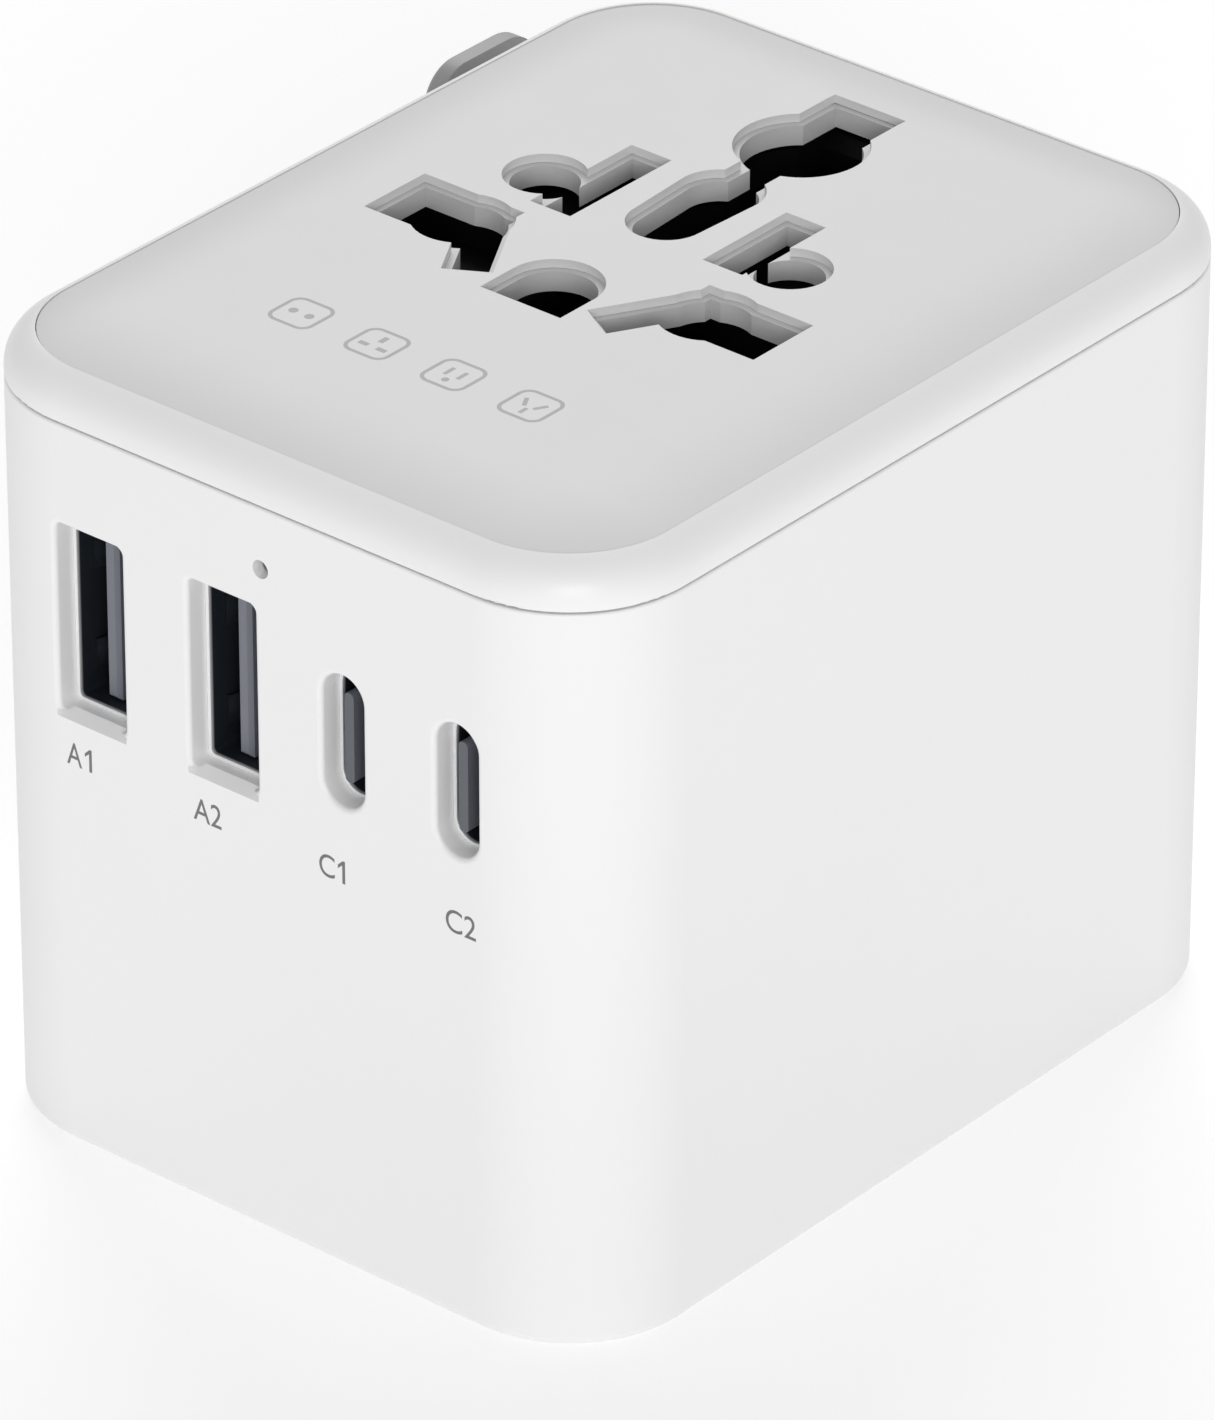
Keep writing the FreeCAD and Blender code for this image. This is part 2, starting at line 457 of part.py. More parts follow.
def earth_contact():
    """Brass strip along the middle well with leaves for the earth pins."""
    z0 = CONTACT_FOOT_Z
    parts = [box(-2.9, 2.9, -6.1, 26.9, z0, z0 + BRASS)]
    for x in (-2.9, 2.9 - BRASS):
        parts.append(box(x, x + BRASS, 17.8, 26.4, z0, CONTACT_TOP))
        parts.append(box(x, x + BRASS, 8.0, 14.0, z0, CONTACT_TOP - 4))
        parts.append(box(x, x + BRASS, -5.6, -0.6, z0, CONTACT_TOP - 4))
    return moved(fuse(parts), y=PATTERN_Y)


def bus_rail(x, y):
    """Upright strip that the plug pins' wipers slide down."""
    return upright_box(x, y, RAIL_W, RAIL_T, RAIL_Z0, CONTACT_FOOT_Z - 0.1)


# ---- plug carriages and pins ------------------------------------------------------------------
def uk_live_pin():
    core = upright_box(UK_PIN_X, UK_PIN_Y, UK_PIN_LONG - 2 * SLEEVE, UK_PIN_THICK - 2 * SLEEVE,
                       UK_SLEEVE_Z0, PIN_TOP_Z)
    tip = upright_box(UK_PIN_X, UK_PIN_Y, UK_PIN_LONG, UK_PIN_THICK, UK_PIN_TIP, UK_SLEEVE_Z0)
    tip = tip.makeChamfer(PIN_BEVEL, edges_at(tip, "Z", UK_PIN_TIP))
    wiper_y = UK_PIN_Y + 3.0
    wiper = fuse([box(UK_PIN_X - 1.5, UK_PIN_X + 1.5, UK_PIN_Y, wiper_y + BRASS, 28.4, PIN_TOP_Z),
                  box(UK_PIN_X - 1.5, UK_PIN_X + 1.5, wiper_y, wiper_y + BRASS, WIPER_Z, PIN_TOP_Z)])
    return fuse([tip, core, wiper])


def uk_sleeve():
    """Black sleeve round the upper part of a British live pin."""
    outer = upright_box(UK_PIN_X, UK_PIN_Y, UK_PIN_LONG, UK_PIN_THICK, UK_SLEEVE_Z0, DECK_Z0)
    inner_long, inner_thick = UK_PIN_LONG - 2 * SLEEVE, UK_PIN_THICK - 2 * SLEEVE
    return outer.cut(upright_box(UK_PIN_X, UK_PIN_Y, inner_long, inner_thick, 0, DECK_Z1))


def uk_earth_pin():
    pin = upright_box(0, UK_EARTH_PIN_Y, UK_PIN_THICK, UK_EARTH_PIN_LONG, UK_EARTH_PIN_TIP, PIN_TOP_Z)
    return pin.makeChamfer(PIN_BEVEL, edges_at(pin, "Z", UK_EARTH_PIN_TIP))


def catch_notch(x0, x1, y):
    return box(x0, x1, y - 4, y + 4, STEM_Z - CATCH_HALF_Z - 0.2, STEM_Z + CATCH_HALF_Z + 0.2)


def uk_carriage():
    """C-shaped carrier that goes round the other two and is caught by the knob."""
    lane = LANES_Y[0]
    deck = fuse([
        box(-15.3, 19.5, -3.0, 2.6, DECK_Z0, DECK_Z1),
        box(15.0, 19.5, -3.0, 23.6, DECK_Z0, DECK_Z1),
        box(-21.2, 19.5, 17.8, 23.6, DECK_Z0, DECK_Z1),
        box(-4.2, 4.2, 17.8, 26.6, DECK_Z0, DECK_Z1),
        box(-21.2, -17.2, lane - 2.6, lane + 2.6, DECK_Z1, STEM_Z + 3.0),
    ])
    pin = uk_live_pin()
    return deck.cut(Part.makeCompound([pin, mirrored(pin), uk_earth_pin(),
                                       catch_notch(CATCH_X0 - 0.3, CATCH_X1 + 0.3, lane)]))


def eu_pin():
    tip = rod(EU_PIN_R, EU_PIN_X, EU_PIN_Y, EU_PIN_TIP, EU_SLEEVE_Z0)
    tip = tip.makeFillet(1.5, edges_at(tip, "Z", EU_PIN_TIP))
    core = rod(EU_PIN_R - SLEEVE, EU_PIN_X, EU_PIN_Y, EU_SLEEVE_Z0, PIN_TOP_Z)
    wiper_y = EU_PIN_Y - 4.0
    wiper = fuse([box(EU_PIN_X - 0.4, EU_PIN_X + 2.6, wiper_y, EU_PIN_Y, 28.4, PIN_TOP_Z),
                  box(EU_PIN_X - 0.4, EU_PIN_X + 2.6, wiper_y, wiper_y + BRASS, WIPER_Z, PIN_TOP_Z)])
    return fuse([tip, core, wiper])


def eu_sleeve():
    return rod(EU_SLEEVE_R, EU_PIN_X, EU_PIN_Y, EU_SLEEVE_Z0, DECK_Z0).cut(
        rod(EU_PIN_R - SLEEVE, EU_PIN_X, EU_PIN_Y, 0, DECK_Z1))


def eu_carriage():
    """Carrier of the European pins, caught in the middle lane."""
    lane = LANES_Y[1]
    deck = fuse([box(-19.0, 13.2, 6.8, 13.2, DECK_Z0, DECK_Z1),
                 box(-19.0, -16.7, lane - 2.6, lane + 2.6, DECK_Z1, STEM_Z + 3.0)])
    pin = eu_pin()
    return deck.cut(Part.makeCompound([pin, mirrored(pin), catch_notch(-20, -18.2, lane)]))


def us_carriage():
    """Carrier of the two blade hubs, caught in the front lane."""
    lane = LANES_Y[2]
    deck = fuse([box(-19.0, 12.6, -14.4, -4.6, DECK_Z0, DECK_Z1),
                 box(-19.0, -16.2, -14.4, lane + 2.6, DECK_Z0, DECK_Z1),
                 box(-19.0, -16.7, lane - 2.6, lane + 2.6, DECK_Z1, STEM_Z + 3.0)])
    bores = [rod(ROTOR_R + ROTOR_FIT, side * BLADE_PIVOT_X, BLADE_PIVOT_Y, DECK_Z0 - 1, DECK_Z1 + 1)
             for side in (-1, 1)]
    return deck.cut(Part.makeCompound(bores + [catch_notch(-20, -18.2, lane)]))


def blade(side):
    """Flat American blade with the usual hole near its tip."""
    x, y = side * BLADE_PIVOT_X, BLADE_PIVOT_Y + BLADE_OFFSET
    strip = upright_box(x, y, BLADE_THICK, BLADE_LONG, BLADE_TIP, 28.0)
    strip = strip.makeChamfer(BLADE_BEVEL, edges_at(strip, "Z", BLADE_TIP))
    hole = Part.makeCylinder(BLADE_HOLE_R, 4, V(x - 2, y, BLADE_TIP + BLADE_HOLE_Z), V(1, 0, 0))
    return strip.cut(hole)


def blade_rotor(side):
    """Round hub that lets the blade be twisted for Australian sockets."""
    x = side * BLADE_PIVOT_X
    hub = rod(ROTOR_R, x, BLADE_PIVOT_Y, ROTOR_Z0, DECK_Z1 + 0.1)
    head = rod(ROTOR_HEAD_R, x, BLADE_PIVOT_Y, DECK_Z1 + 0.1, ROTOR_HEAD_Z)
    return fuse([hub, head]).cut(blade(side))


# ---- knob ------------------------------------------------------------------------------------
def knob_grip():
    """Grey finger plate with a short neck."""
    y, z = LANES_Y[0], (KNOB_Z0 + KNOB_Z1) / 2
    plate = Part.makeBox(KNOB_T, KNOB_W, KNOB_Z1 - KNOB_Z0, V(KNOB_X0, y - KNOB_W / 2, KNOB_Z0))
    plate = plate.makeFillet(KNOB_R, edges_along(plate, V(1, 0, 0)))
    plate = plate.makeFillet(0.35, edges_at(plate, "X", KNOB_X0))
    neck = Part.makeBox(NECK_L, NECK_W, NECK_H, V(KNOB_X0 + KNOB_T, y - NECK_W / 2, z - 4.3))
    neck = neck.makeFillet(NECK_R, edges_along(neck, V(1, 0, 0)))
    half = KNOB_W / 2 - 1.8
    grooves = [rod_y(GROOVE_R, KNOB_X0 - 0.02, z + step, y - half, y + half) for step in GROOVE_STEPS]
    return fuse([plate, neck]).cut(Part.makeCompound(grooves))


def knob_stem():
    """Black stem through the wall, ending in the catch that drives a carriage."""
    y = LANES_Y[0]
    x0 = KNOB_X0 + KNOB_T + NECK_L
    stem = box(x0, GUIDE_X1 + 0.1, y - STEM_W / 2, y + STEM_W / 2, STEM_Z0, STEM_Z1)
    catch = box(GUIDE_X1, CATCH_X1, y - STEM_W / 2, y + STEM_W / 2, STEM_Z - CATCH_HALF_Z, STEM_Z + CATCH_HALF_Z)
    return fuse([stem, catch])


def lane_guide():
    """Upright slide behind the wall: it moves from lane to lane with the knob."""
    y = LANES_Y[0]
    plate = box(GUIDE_X0, GUIDE_X1, y - GUIDE_HALF_Y, y + GUIDE_HALF_Y, GUIDE_Z0, GUIDE_Z1)
    window = box(GUIDE_X0 - 1, GUIDE_X1 + 1, y - STEM_W / 2 - 0.15, y + STEM_W / 2 + 0.15,
                 STEM_Z0 - UK_TRAVEL - 0.3, STEM_Z1 + 0.25)
    return plate.cut(window)


def lane_shield():
    """Black strip on the guide's edge that hides the inside behind the empty lanes."""
    edge = LANES_Y[0] - GUIDE_HALF_Y
    return box(GUIDE_X0, GUIDE_X1, LANES_Y[-1] - LANE_W / 2 - 0.4, edge - 0.02, GUIDE_Z0, GUIDE_Z1)


# ---- USB charger ------------------------------------------------------------------------------
def usb_a_shell(x):
    """Folded metal sleeve that sits flat against the wall, as large as the opening."""
    y0 = -CAVITY_Y + 0.01
    can = rounded_y(x, USB_A_Z, USB_A_W, USB_A_H, 0.45, y0, BOARD_Y0 - 0.05)
    return can.cut(rounded_y(x, USB_A_Z, USB_A_W - 2 * METAL, USB_A_H - 2 * METAL, 0.3, y0 - 1, BOARD_Y0 - 1.0))


def usb_a_tongue(x):
    """Insulating tongue, bevelled at its front."""
    y0, y1 = TONGUE_A_Y0, BOARD_Y0 - 1.1
    tongue = box(x + TONGUE_A_X[0], x + TONGUE_A_X[1], y0, y1, *TONGUE_A_Z)
    return tongue.makeChamfer(0.25, edges_at(tongue, "Y", y0))


def usb_c_shell(x):
    """Oval sleeve behind its opening in the wall."""
    y0, r = -CAVITY_Y + 0.01, USB_C_W / 2 - 0.01
    can = rounded_y(x, USB_C_Z, USB_C_W, USB_C_H, r, y0, BOARD_Y0 - 0.05)
    w, h = USB_C_W - 2 * METAL, USB_C_H - 2 * METAL
    return can.cut(rounded_y(x, USB_C_Z, w, h, w / 2 - 0.01, y0 - 1, BOARD_Y0 - 1.0))


def usb_c_tongue(x):
    """Thin tongue with rounded ends that reaches forward into the opening."""
    return rounded_y(x, USB_C_Z, TONGUE_C_T, TONGUE_C_H, 0.3, TONGUE_C_Y0, BOARD_Y0 - 1.1)


def usb_board():
    return box(-USB_BOARD_X, USB_BOARD_X, BOARD_Y0, BOARD_Y0 + BOARD_T, *USB_BOARD_Z)


def power_board():
    return box(-POWER_BOARD_X, POWER_BOARD_X, *POWER_BOARD_Y, POWER_BOARD_Z, POWER_BOARD_Z + BOARD_T)


def light_pipe():
    return rod_y(LED_HOLE_R - 0.05, 0, LED_Z, LIGHT_PIPE_Y0, BOARD_Y0 - 1.0)


def status_led():
    return box(-0.8, 0.8, BOARD_Y0 - 0.9, BOARD_Y0 - 0.02, LED_Z - 0.6, LED_Z + 0.6)


def transformer():
    """Ferrite core with its winding bobbin."""
    z1 = HANG_Z
    core = box(-8.0, 8.0, -28.5, -18.5, z1 - 13.0, z1)
    window = [box(-5.6, -2.6, -29, -18, z1 - 10.4, z1 - 2.6), box(2.6, 5.6, -29, -18, z1 - 10.4, z1 - 2.6)]
    return core.cut(Part.makeCompound(window))


def transformer_winding():
    z1 = HANG_Z
    winding = rounded(11.0, 11.6, 1.2, z1 - 10.2, z1 - 2.8, 0, -23.5)
    return winding.cut(box(-2.7, 2.7, -30, -18, z1 - 11, z1))


def capacitors():
    cans = []
    for x in (-CAN_X, CAN_X):
        can = rod(CAN_R, x, CAN_Y, HANG_Z - CAN_H, HANG_Z)
        cans.append(can.makeFillet(0.5, edges_at(can, "Z", HANG_Z - CAN_H)))
    return Part.makeCompound(cans)


def rectifier():
    return box(-5.0, 5.0, -27.5, -22.5, POWER_BOARD_Z + BOARD_T + 0.05, POWER_BOARD_Z + BOARD_T + 2.6)


def safety_barrier():
    """Insulating sheet between the charger and the plug pins."""
    return box(-21.0, 21.0, -16.4, -15.8, 2.4, 21.7)


def mains_fuse():
    tube = rod_y(FUSE_R, FUSE_X, FUSE_Z, 2.2, 15.8)
    caps = [rod_y(FUSE_CAP_R, FUSE_X, FUSE_Z, y, y + FUSE_CAP_L) for y in FUSE_CAPS_Y]
    return fuse([tube] + caps)


def fuse_clips():
    clips = []
    for y in (0.2, 15.0):
        clip = box(16.6, 22.6, y, y + 3.0, 34.7, 40.0)
        seat = rod_y(FUSE_CAP_R + 0.05, FUSE_X, FUSE_Z, y - 1, y + 4)
        mouth = box(17.6, 22.0, y - 1, y + 4, FUSE_Z, FUSE_Z + 3)
        clips.append(clip.cut(seat).cut(mouth))
    return Part.makeCompound(clips)


def fuse_holder():
    return box(16.5, 22.7, -2.0, 20.0, 33.0, 34.6)


# ---- everything, one solid or group of solids for each node -----------------------------------
def nodes():
    parts = {
        "body_shell": body_shell(),
        "top_cover": top_cover(),
        "socket_plate": socket_plate(),
        "plug_plate": plug_plate(),
        "casing_screws": casing_screws(),
        "shutter_frame": shutter_frame(),
        "front_shutter": front_shutter(),
        "right_shutter": side_shutter(),
        "left_shutter": mirrored(side_shutter()),
        "front_shutter_springs": front_shutter_springs(),
        "right_shutter_spring": side_shutter_spring(),
        "left_shutter_spring": mirrored(side_shutter_spring()),
        "contact_block": contact_block(),
        "line_contact": live_contact(),
        "neutral_contact": mirrored(live_contact()),
        "earth_contact": earth_contact(),
        "line_rail": bus_rail(UK_PIN_X, 4.55),
        "neutral_rail": bus_rail(-UK_PIN_X, 4.55),
        "earth_rail": bus_rail(0, 15.1),
        "uk_carriage": uk_carriage(),
        "uk_line_pin": uk_live_pin(),
        "uk_neutral_pin": mirrored(uk_live_pin()),
        "uk_earth_pin": uk_earth_pin(),
        "uk_pin_sleeves": Part.makeCompound([uk_sleeve(), mirrored(uk_sleeve())]),
        "eu_carriage": eu_carriage(),
        "eu_line_pin": eu_pin(),
        "eu_neutral_pin": mirrored(eu_pin()),
        "eu_pin_sleeves": Part.makeCompound([eu_sleeve(), mirrored(eu_sleeve())]),
        "us_carriage": us_carriage(),
        "line_blade": blade(1),
        "neutral_blade": blade(-1),
        "line_blade_rotor": blade_rotor(1),
        "neutral_blade_rotor": blade_rotor(-1),
        "knob_grip": knob_grip(),
        "knob_stem": knob_stem(),
        "lane_guide": lane_guide(),
        "lane_shield": lane_shield(),
        "usb_board": usb_board(),
        "power_board": power_board(),
        "light_pipe": light_pipe(),
        "status_led": status_led(),
        "transformer_core": transformer(),
        "transformer_winding": transformer_winding(),
        "capacitors": capacitors(),
        "rectifier": rectifier(),
        "safety_barrier": safety_barrier(),
        "mains_fuse": mains_fuse(),
        "fuse_clips": fuse_clips(),
        "fuse_holder": fuse_holder(),
    }
    for number, x in enumerate(USB_A_X, 1):
        parts[f"usb_a{number}_shell"] = usb_a_shell(x)
        parts[f"usb_a{number}_tongue"] = usb_a_tongue(x)
    for number, x in enumerate(USB_C_X, 1):
        parts[f"usb_c{number}_shell"] = usb_c_shell(x)
        parts[f"usb_c{number}_tongue"] = usb_c_tongue(x)
    return parts


def main():
    os.makedirs("parts", exist_ok=True)
    for name, shape in nodes().items():
        if not shape.isValid() or any(solid.Volume <= 0 for solid in shape.Solids) or not shape.Solids:
            print("check the shape of", name)
        shape.exportStep(f"parts/{name}.step")
        print(f"{name}: {len(shape.Solids)} solid(s), {shape.Volume:.1f} mm3")


main()
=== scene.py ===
# %% [markdown]
# # A universal travel adapter, dressed and lit
#
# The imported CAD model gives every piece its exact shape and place, so this lesson is about
# what a shape alone lacks: satin white plastic, a soft grey plate, printed marks, the bright
# and dark metal inside the ports, and the calm light of a product table.  Each step says
# what the real piece is, how it could be made, and why this way was chosen.

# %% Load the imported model
import math

import bpy
from mathutils import Matrix, Vector


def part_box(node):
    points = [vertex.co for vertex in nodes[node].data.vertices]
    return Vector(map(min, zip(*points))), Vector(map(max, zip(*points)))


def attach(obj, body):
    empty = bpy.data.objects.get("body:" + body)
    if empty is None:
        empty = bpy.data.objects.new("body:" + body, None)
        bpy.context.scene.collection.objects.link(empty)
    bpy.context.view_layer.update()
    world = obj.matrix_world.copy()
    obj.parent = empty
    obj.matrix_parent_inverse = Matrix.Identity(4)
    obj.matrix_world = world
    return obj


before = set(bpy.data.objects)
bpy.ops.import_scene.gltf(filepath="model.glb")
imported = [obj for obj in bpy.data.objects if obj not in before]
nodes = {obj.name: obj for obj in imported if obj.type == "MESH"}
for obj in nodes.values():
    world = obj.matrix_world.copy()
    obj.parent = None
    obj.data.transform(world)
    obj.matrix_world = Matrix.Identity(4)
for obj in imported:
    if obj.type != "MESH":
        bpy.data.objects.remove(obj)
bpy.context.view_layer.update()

MM = 0.001

# %% [markdown]
# ## Shared surface effects
#
# Nearly every surface here is moulded plastic or thin metal, and the same few things happen
# to all of them: the tone drifts a little across a moulding, the mould leaves a fine grain,
# and rubbing leaves hairlines.  Those could be drawn afresh in each material, but then a
# correction would have to be made twenty times.  A node group with named inputs is built
# once per effect and placed in each material with its own numbers.


# %% Small helpers for node trees
def new_group(name, inputs, outputs):
    """Empty shader group with (label, socket type, default) inputs and (label, type) outputs."""
    group = bpy.data.node_groups.new(name, "ShaderNodeTree")
    for label, kind, default in inputs:
        socket = group.interface.new_socket(label, in_out="INPUT", socket_type=kind)
        if default is not None:
            socket.default_value = default
    for label, kind in outputs:
        group.interface.new_socket(label, in_out="OUTPUT", socket_type=kind)
    return group, group.nodes.new("NodeGroupInput").outputs, group.nodes.new("NodeGroupOutput").inputs


def feed(tree, socket, value):
    """Put a number, a colour or another node's output into a socket."""
    if isinstance(value, bpy.types.NodeSocket):
        tree.links.new(value, socket)
    else:
        socket.default_value = value


def maths(tree, operation, a, b=0.0, c=0.0, clamp=False):
    node = tree.nodes.new("ShaderNodeMath")
    node.operation, node.use_clamp = operation, clamp
    for socket, value in zip(node.inputs, (a, b, c)):
        feed(tree, socket, value)
    return node.outputs[0]


def noise(tree, vector, scale, detail=2.0, roughness=0.5):
    node = tree.nodes.new("ShaderNodeTexNoise")
    for label, value in (("Vector", vector), ("Scale", scale), ("Detail", detail), ("Roughness", roughness)):
        feed(tree, node.inputs[label], value)
    return node.outputs["Fac"]


def remap(tree, value, low, high, to_low=0.0, to_high=1.0):
    node = tree.nodes.new("ShaderNodeMapRange")
    for label, given in (("Value", value), ("From Min", low), ("From Max", high),
                         ("To Min", to_low), ("To Max", to_high)):
        feed(tree, node.inputs[label], given)
    return node.outputs["Result"]


def blend(tree, factor, first, second):
    node = tree.nodes.new("ShaderNodeMix")
    node.data_type = "RGBA"
    colours = [s for s in node.inputs if s.type == "RGBA"]
    feed(tree, node.inputs["Factor"], factor)
    feed(tree, colours[0], first)
    feed(tree, colours[1], second)
    return next(s for s in node.outputs if s.type == "RGBA")


def stretched(tree, vector, scale):
    node = tree.nodes.new("ShaderNodeVectorMath")
    node.operation = "MULTIPLY"
    feed(tree, node.inputs[0], vector)
    feed(tree, node.inputs[1], scale)
    return node.outputs[0]


# %% Moulded skin: tone drift, patchy gloss and mould grain
moulded_skin, given, made = new_group(
    "moulded skin",
    [("Vector", "NodeSocketVector", None), ("Colour", "NodeSocketColor", (0.8, 0.8, 0.8, 1)),
     ("Flow Colour", "NodeSocketColor", (0.7, 0.7, 0.7, 1)), ("Drift", "NodeSocketFloat", 0.5),
     ("Grain", "NodeSocketFloat", 6000.0), ("Roughness", "NodeSocketFloat", 0.4),
     ("Patchiness", "NodeSocketFloat", 0.05)],
    [("Colour", "NodeSocketColor"), ("Roughness", "NodeSocketFloat"), ("Height", "NodeSocketFloat")])
drift = remap(moulded_skin, noise(moulded_skin, given["Vector"], 38.0, 3.0), 0.3, 0.7, 0.0, given["Drift"])
feed(moulded_skin, made["Colour"], blend(moulded_skin, drift, given["Colour"], given["Flow Colour"]))
patches = maths(moulded_skin, "SUBTRACT", noise(moulded_skin, given["Vector"], 310.0, 4.0), 0.5)
feed(moulded_skin, made["Roughness"],
     maths(moulded_skin, "MULTIPLY_ADD", patches, given["Patchiness"], given["Roughness"]))
fine = noise(moulded_skin, given["Vector"], given["Grain"], 1.5, 0.6)
swell = noise(moulded_skin, given["Vector"], 240.0, 1.0)
feed(moulded_skin, made["Height"], maths(moulded_skin, "MULTIPLY_ADD", swell, 0.8, fine))
print("group:", moulded_skin.name, "with", len(moulded_skin.nodes), "nodes")

# %% Rubbed hairlines: thin streaks along one direction, as a mask and a height
hairlines, given, made = new_group(
    "rubbed hairlines",
    [("Vector", "NodeSocketVector", None), ("Stretch", "NodeSocketVector", (9000.0, 9000.0, 260.0)),
     ("Amount", "NodeSocketFloat", 0.5)],
    [("Mask", "NodeSocketFloat"), ("Height", "NodeSocketFloat")])
streaks = noise(hairlines, stretched(hairlines, given["Vector"], given["Stretch"]), 1.0, 3.0, 0.65)
sharp = remap(hairlines, streaks, 0.52, 0.66)
worn = remap(hairlines, noise(hairlines, given["Vector"], 420.0, 3.0), 0.4, 0.62)
rubbed = maths(hairlines, "MULTIPLY", sharp, worn)
feed(hairlines, made["Mask"], maths(hairlines, "MULTIPLY", rubbed, given["Amount"]))
feed(hairlines, made["Height"], streaks)
print("group:", hairlines.name, "with", len(hairlines.nodes), "nodes")

# %% Depth fade: 0 at one plane, 1 at another, along any direction
depth_fade, given, made = new_group(
    "depth fade",
    [("Vector", "NodeSocketVector", None), ("Direction", "NodeSocketVector", (0.0, 1.0, 0.0)),
     ("Start", "NodeSocketFloat", 0.0), ("End", "NodeSocketFloat", 0.001)],
    [("Mask", "NodeSocketFloat")])
along = depth_fade.nodes.new("ShaderNodeVectorMath")
along.operation = "DOT_PRODUCT"
feed(depth_fade, along.inputs[0], given["Vector"])
feed(depth_fade, along.inputs[1], given["Direction"])
feed(depth_fade, made["Mask"], remap(depth_fade, along.outputs["Value"], given["Start"], given["End"]))
print("group:", depth_fade.name, "with", len(depth_fade.nodes), "nodes")

# %% [markdown]
# ## Plastics
#
# The casing is satin polycarbonate, the plate on top is a softer, greyer moulding, and the
# shutters and carriages are dull black.  They differ in tone, gloss and grain, so one
# function makes them all from the moulded-skin group, and every call says what is special
# about that plastic.  Numbers that are the same all over, such as the refractive index, are
# set on the shader itself.


# %% A plastic from the moulded-skin group
def blank(name):
    """New material with a Principled shader; gives its tree, shader and Object coordinates."""
    material = bpy.data.materials.new(name)
    material.use_nodes = True
    tree = material.node_tree
    shader = next(n for n in tree.nodes if n.type == "BSDF_PRINCIPLED")
    return material, tree, shader, tree.nodes.new("ShaderNodeTexCoord").outputs["Object"]


def place(tree, group, **values):
    """Place a group in a material; keywords are its inputs, with _ for a space."""
    node = tree.nodes.new("ShaderNodeGroup")
    node.node_tree = group
    for label, value in values.items():
        feed(tree, node.inputs[label.replace("_", " ")], value)
    return node.outputs


def relief(tree, shader, height, depth_um):
    """Bump of the given depth in thousandths of a millimetre."""
    bump = tree.nodes.new("ShaderNodeBump")
    bump.inputs["Distance"].default_value = depth_um * 1e-6
    feed(tree, bump.inputs["Height"], height)
    feed(tree, shader.inputs["Normal"], bump.outputs["Normal"])


def grey(level, warm=0.0):
    """Neutral colour, or a slightly warm (or cool, if negative) one."""
    return (level * (1 + warm), level, level * (1 - warm), 1.0)


def plastic(name, colour, flow, rough, grain_mm=0.16, depth_um=1.5, drift=0.6, patchy=0.06, gloss=0.5):
    material, tree, shader, vector = blank(name)
    skin = place(tree, moulded_skin, Vector=vector, Colour=colour, Flow_Colour=flow, Drift=drift,
                 Grain=1 / (grain_mm * MM), Roughness=rough, Patchiness=patchy)
    feed(tree, shader.inputs["Base Color"], skin["Colour"])
    feed(tree, shader.inputs["Roughness"], skin["Roughness"])
    shader.inputs["Specular IOR Level"].default_value = gloss
    relief(tree, shader, skin["Height"], depth_um)
    return material


# %% White casing, grey plate, knob and the dark inner plastics
white_satin = plastic("white_satin", grey(0.865), grey(0.85, 0.002), 0.40, 0.14, 0.9, patchy=0.04)
plate_grey = plastic("plate_grey", grey(0.71), grey(0.695), 0.42, 0.12, 1.4, patchy=0.05)
knob_grey = plastic("knob_grey", grey(0.35, 0.004), grey(0.33), 0.42, 0.12, 1.6)
shutter_black = plastic("shutter_black", grey(0.005), grey(0.008), 0.5, 0.15, 2.0, gloss=0.1)
carriage_black = plastic("carriage_black", grey(0.014), grey(0.02), 0.5, 0.2, 2.5, gloss=0.35)
pin_sleeve_black = plastic("pin_sleeve_black", grey(0.011), grey(0.016), 0.36, 0.1, 1.2, gloss=0.45)
small_tongue = plastic("tongue_dark", (0.10, 0.108, 0.125, 1), (0.088, 0.095, 0.112, 1), 0.34, 0.1, 1.0)
tongue_slate = plastic("tongue_slate", (0.19, 0.20, 0.235, 1), (0.17, 0.18, 0.215, 1), 0.34, 0.1, 1.0)
print("plastics:", [m.name for m in bpy.data.materials if m.users == 0])

# %% [markdown]
# The cover is moulded in white, but the walls of its socket holes and the recess under the
# plate are sprayed grey like the plate, set darker than the plate as painted shade in the
# holes, so that no white edge shows inside a hole.  The spray stops at the recess, a box
# with rounded corners, and the distance past the straight part of each side gives that outline.

# %% The cover: white rim, grey inside the plate's outline, darker than the plate as painted shade
cover_two_tone = plastic("cover_two_tone", grey(0.865), grey(0.85, 0.002), 0.40, 0.14, 0.9, patchy=0.04)
tree = cover_two_tone.node_tree
shader = tree.nodes["Principled BSDF"]
moulded = shader.inputs["Base Color"].links[0].from_socket
spot = tree.nodes.new("ShaderNodeSeparateXYZ")
feed(tree, spot.inputs[0], tree.nodes["Texture Coordinate"].outputs["Object"])
plate_reach, corner_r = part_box("socket_plate")[1], 7.04 * MM
past_x, past_y = (maths(tree, "MAXIMUM", maths(tree, "SUBTRACT", maths(tree, "ABSOLUTE", spot.outputs[axis]),
                                               reach - corner_r), 0.0)
                  for axis, reach in (("X", plate_reach.x), ("Y", plate_reach.y)))
reach = maths(tree, "SQRT", maths(tree, "ADD", maths(tree, "MULTIPLY", past_x, past_x),
                                  maths(tree, "MULTIPLY", past_y, past_y)))
# grey inside the plate's outline: the plate's grey, set darker as painted shade on the hole walls
hole_grey_and_painted_shade = maths(tree, "LESS_THAN", reach, corner_r + 0.02 * MM)
feed(tree, shader.inputs["Base Color"], blend(tree, hole_grey_and_painted_shade, moulded, grey(0.60)))
print("grey inside", round(plate_reach.x / MM, 2), "x", round(plate_reach.y / MM, 2), "mm from the middle")

# %% [markdown]
# ## Metals
#
# The plug pins and the brass contacts are drawn metal that slides against other metal, so
# hairlines run along their length and the roughness rises where they are worn.  The
# hairline group does both, stretched along the direction in which the piece slides.


